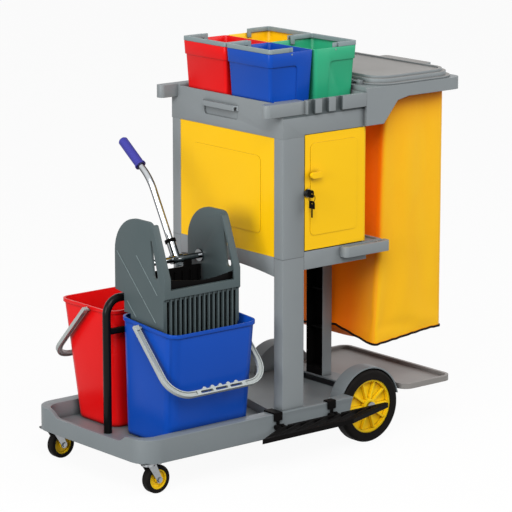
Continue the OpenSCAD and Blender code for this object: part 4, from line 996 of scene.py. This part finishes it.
@dataclass
class CheekLines:
    """Three raised lines that slant across the wringer's outer left cheek, coloured pale grey as a painted
    highlight.
    """

    radius: float = 1.3 * MM
    lines: tuple = (((14, 589), (-148, 426)), ((-68, 590), (-155, 499)), ((-28, 464), (-66, 426)))

    def dress(self) -> None:
        """Models the lines as one piece and settles it."""
        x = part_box("wringer_body")[0].x
        bars = []
        for i, ends in enumerate(self.lines):
            start, end = (Vector((x, y * MM, z * MM)) for y, z in ends)
            bar = rod(f"cheek_line_{i}", (start, end), self.radius, 12)
            with editing(bar):
                bpy.ops.mesh.select_all(action="SELECT")
                bpy.ops.mesh.bevel(offset=0.4 * MM, segments=2, affect="EDGES")
            bars.append(bar)
        piece = join(bars)
        piece.name = piece.data.name = "wringer_cheek_lines"
        smooth(piece, 40)
        # Painted highlight: the lines are of the cheek's slate plastic; the pale bail grey stands for the
        # light along them.
        settle(piece, "wringer", None, Finish.BAIL_GREY)


PLAIN_NODES: dict[Finish, str] = {
    Finish.GREY: "bag_frame lid_hinge_pins",
    # Painted light: the rear platform wears the warm grey of lit top faces.
    Finish.WARM_GREY: "rear_platform",
    Finish.BLACK: "door_key spare_key tool_rest_right tool_rest_left rest_clips strainer_plate press_plate"
                  " lever_collar",
    Finish.TUBE: "divider_frame",
    Finish.YELLOW: "front_panel left_panel back_panel cabinet_door door_pull",
    Finish.HUB: "rear_hub_right rear_hub_left caster_hub_right caster_hub_left",
    Finish.PALE: "blue_bail red_bail",
    Finish.GRIP: "lever_grip",
    Finish.TYRE: "rear_tyre_right rear_tyre_left caster_tyre_right caster_tyre_left",
    Finish.CHROME: "wringer_shaft wringer_lever",
    Finish.ZINC: "platform_bolts door_hinge_pins lock_barrel lock_plug rear_axle caster_plates"
                 " caster_bolts caster_fork_right caster_fork_left caster_axle_right caster_axle_left",
}


@dataclass
class Studio:
    """Camera at the photo's angle, pale floor and soft light."""

    camera_at: tuple[float, float, float] = (-4.6923, -5.6695, 2.1310)
    camera_turn: tuple[float, float, float] = (77.61, 0.0, -39.66)
    lens: float = 197.5
    floor_side: float = 80.0
    sky: float = 0.3
    key: float = 205.0
    key_at: tuple[float, float, float] = (-2.6, -3.6, 4.2)
    front: float = 150.0
    front_at: tuple[float, float, float] = (-5.0, -1.0, 1.8)
    side: float = 95.0
    side_at: tuple[float, float, float] = (3.4, -3.2, 2.6)
    glow: float = 0.94
    bounce: float = 0.15

    def camera(self) -> None:
        """Places the camera."""
        data = bpy.data.cameras.new("camera")
        data.lens = self.lens
        data.sensor_width = 36
        camera = bpy.data.objects.new("camera", data)
        camera.location = self.camera_at
        camera.rotation_euler = [math.radians(a) for a in self.camera_turn]
        bpy.context.scene.collection.objects.link(camera)
        bpy.context.scene.camera = camera

    def lamp(self, name: str, place: Sequence[float], target: Sequence[float], size: float,
             power: float) -> None:
        """Adds a square soft lamp.

        Args:
            name: name of the lamp.
            place: where it hangs.
            target: the point it faces.
            size: its side.
            power: its power in watts.
        """
        data = bpy.data.lights.new(name, "AREA")
        data.size = size
        data.energy = power
        lamp = bpy.data.objects.new(name, data)
        lamp.location = place
        lamp.rotation_euler = (Vector(target) - Vector(place)).to_track_quat("-Z", "Y").to_euler()
        bpy.context.scene.collection.objects.link(lamp)

    def seen(self, tree: bpy.types.NodeTree) -> bpy.types.NodeSocket:
        """Adds nodes that tell rays from the camera, or mirrored on their way from it, from light.

        Args:
            tree: nodes of the floor or of the world.

        Returns:
            An output of 1 for such a ray and 0 for light.
        """
        path = add(tree, "LightPath")
        mirrored = add(tree, "Math", {0: path.outputs["Is Camera Ray"], 1: path.outputs["Is Glossy Ray"]},
                       operation="MAXIMUM")
        return add(tree, "Math", {0: mirrored.outputs[0], 1: path.outputs["Is Transmission Ray"]},
                   operation="MAXIMUM").outputs[0]

    def floor(self) -> None:
        """Lays the pale floor, which keeps a faint shadow."""
        bpy.ops.object.select_all(action="DESELECT")
        bpy.ops.mesh.primitive_plane_add(size=self.floor_side)
        floor = bpy.context.object
        floor.name = "studio_floor"
        material, tree, _ = blank_material("matt_white_paper")
        shade = add(tree, "MapRange", {"Value": self.seen(tree), 3: self.bounce, 4: 0.9})
        paper = add(tree, "BsdfDiffuse", {"Color": shade.outputs[0]})
        glow = add(tree, "Emission", {"Color": (1, 1, 1, 1), "Strength": 1.0})
        share = add(tree, "Math", {0: self.seen(tree), 1: self.glow}, operation="MULTIPLY")
        both = add(tree, "MixShader", {0: share.outputs[0], 1: paper.outputs[0], 2: glow.outputs[0]})
        add(tree, "OutputMaterial", {"Surface": both.outputs[0]})
        floor.data.materials.append(material)

    def world(self) -> None:
        """Lights everything evenly from all round."""
        world = bpy.data.worlds.new("studio")
        bpy.context.scene.world = world
        world.use_nodes = True
        tree = world.node_tree
        tree.nodes.clear()
        strength = add(tree, "MapRange", {"Value": self.seen(tree), 3: self.sky, 4: 1.0})
        sky = add(tree, "Background", {"Color": (1, 1, 1, 1), "Strength": strength.outputs[0]})
        add(tree, "OutputWorld", {"Surface": sky.outputs[0]})

    def build(self) -> None:
        """Sets the stage."""
        bpy.context.scene.view_settings.view_transform = "Standard"
        self.camera()
        self.floor()
        self.world()
        self.lamp("key_lamp", self.key_at, (0, 0, 0.5), 3.0, self.key)
        self.lamp("front_lamp", self.front_at, (0, 0, 0.5), 2.5, self.front)
        self.lamp("side_lamp", self.side_at, (0.3, 0, 0.5), 2.5, self.side)


def mouldings() -> list[SoftMoulding]:
    """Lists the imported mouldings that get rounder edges.

    Returns:
        One entry for each moulding.
    """
    def upright(m: Vector, d: Vector) -> bool:
        return abs(d.z) > 0.9

    def everywhere(m: Vector, d: Vector) -> bool:
        return True

    rail_low, rail_back, rail_front = 925 * MM, 234 * MM, 246 * MM
    notch_start, notch_end = -20 * MM, 104 * MM

    # Painted shade: picks the side and back walls of the tray's notches for the dark grey.
    def painted_shade_in_notch(m: Vector, n: Vector) -> bool:
        inner = abs(m.y) < rail_back if abs(n.y) > 0.5 else abs(n.x) > 0.5
        beside = rail_back - 6 * MM < abs(m.y) < rail_front and notch_start < m.x < notch_end
        return inner and beside and m.z > rail_low

    low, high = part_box("rear_post")
    deck_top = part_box("front_post_right")[0].z
    grey = ("cart_frame", "grey_plastic", Finish.GREY)
    return [
        SoftMoulding("front_post_right", *grey, 4 * MM, upright),
        SoftMoulding("front_post_left", *grey, 4 * MM, upright),
        SoftMoulding("rear_post", *grey, 1.5 * MM, upright,
                     (Finish.BLACK, lambda m, n: abs(m.y) < high.y - 1 * MM and m.x < high.x - 1 * MM
                      and n.x < 0.5 and (m.x > low.x + 0.1 * MM or abs(m.y) < high.y - 8 * MM))),
        # Painted shade: the deck wears the darker copy of the grey.
        SoftMoulding("base_deck", "cart_frame", "grey_plastic", Finish.DECK_GREY, 4 * MM,
                     lambda m, d: deck_top - 19 * MM < m.z < deck_top + 0.1 * MM),
        SoftMoulding("cabinet_shelf", *grey, 2 * MM, everywhere),
        SoftMoulding("top_tray", *grey, 2.5 * MM, everywhere, (Finish.DARK_GREY, painted_shade_in_notch),
                     ((0, 0, rail_low), (0, 0, 1))),
        # Painted light: the lid's top faces wear the warm grey of lit top faces.
        SoftMoulding("bag_lid", "lid", "grey_plastic", Finish.GREY, 3 * MM, everywhere,
                     (Finish.WARM_GREY, lambda m, n: n.z > 0.95)),
        *(SoftMoulding(f"pail_bail_{colour}", f"{colour}_pail_bail", "grey_plastic", Finish.BAIL_GREY,
                       2.2 * MM, everywhere) for colour in ("red", "blue", "yellow", "green")),
        SoftMoulding("wringer_body", "wringer", "slate_plastic", Finish.SLATE, 2 * MM,
                     lambda m, d: m.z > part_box("blue_mop_bucket")[1].z),
    ]


def main() -> None:
    """Builds the cart's looks and the studio round it."""
    logging.basicConfig(level=logging.INFO, format="%(name)s: %(message)s")
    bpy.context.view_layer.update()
    Studio().build()
    for finish, names in PLAIN_NODES.items():
        for name in names.split():
            wear(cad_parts[name], finish)
    MopBucket("mop_bucket_blue", "blue_mop_bucket", "blue_bucket", "blue_plastic", Finish.BLUE, -1, 28 * MM,
              17 * MM).dress()
    MopBucket("mop_bucket_red", "red_mop_bucket", "red_bucket", "red_plastic", Finish.RED, 1, 56 * MM,
              0.0).dress()
    SmallBuckets().dress()
    WasteBag().dress()
    CheekLines().dress()
    for moulding in mouldings():
        moulding.dress()


if __name__ == "__main__":
    main()
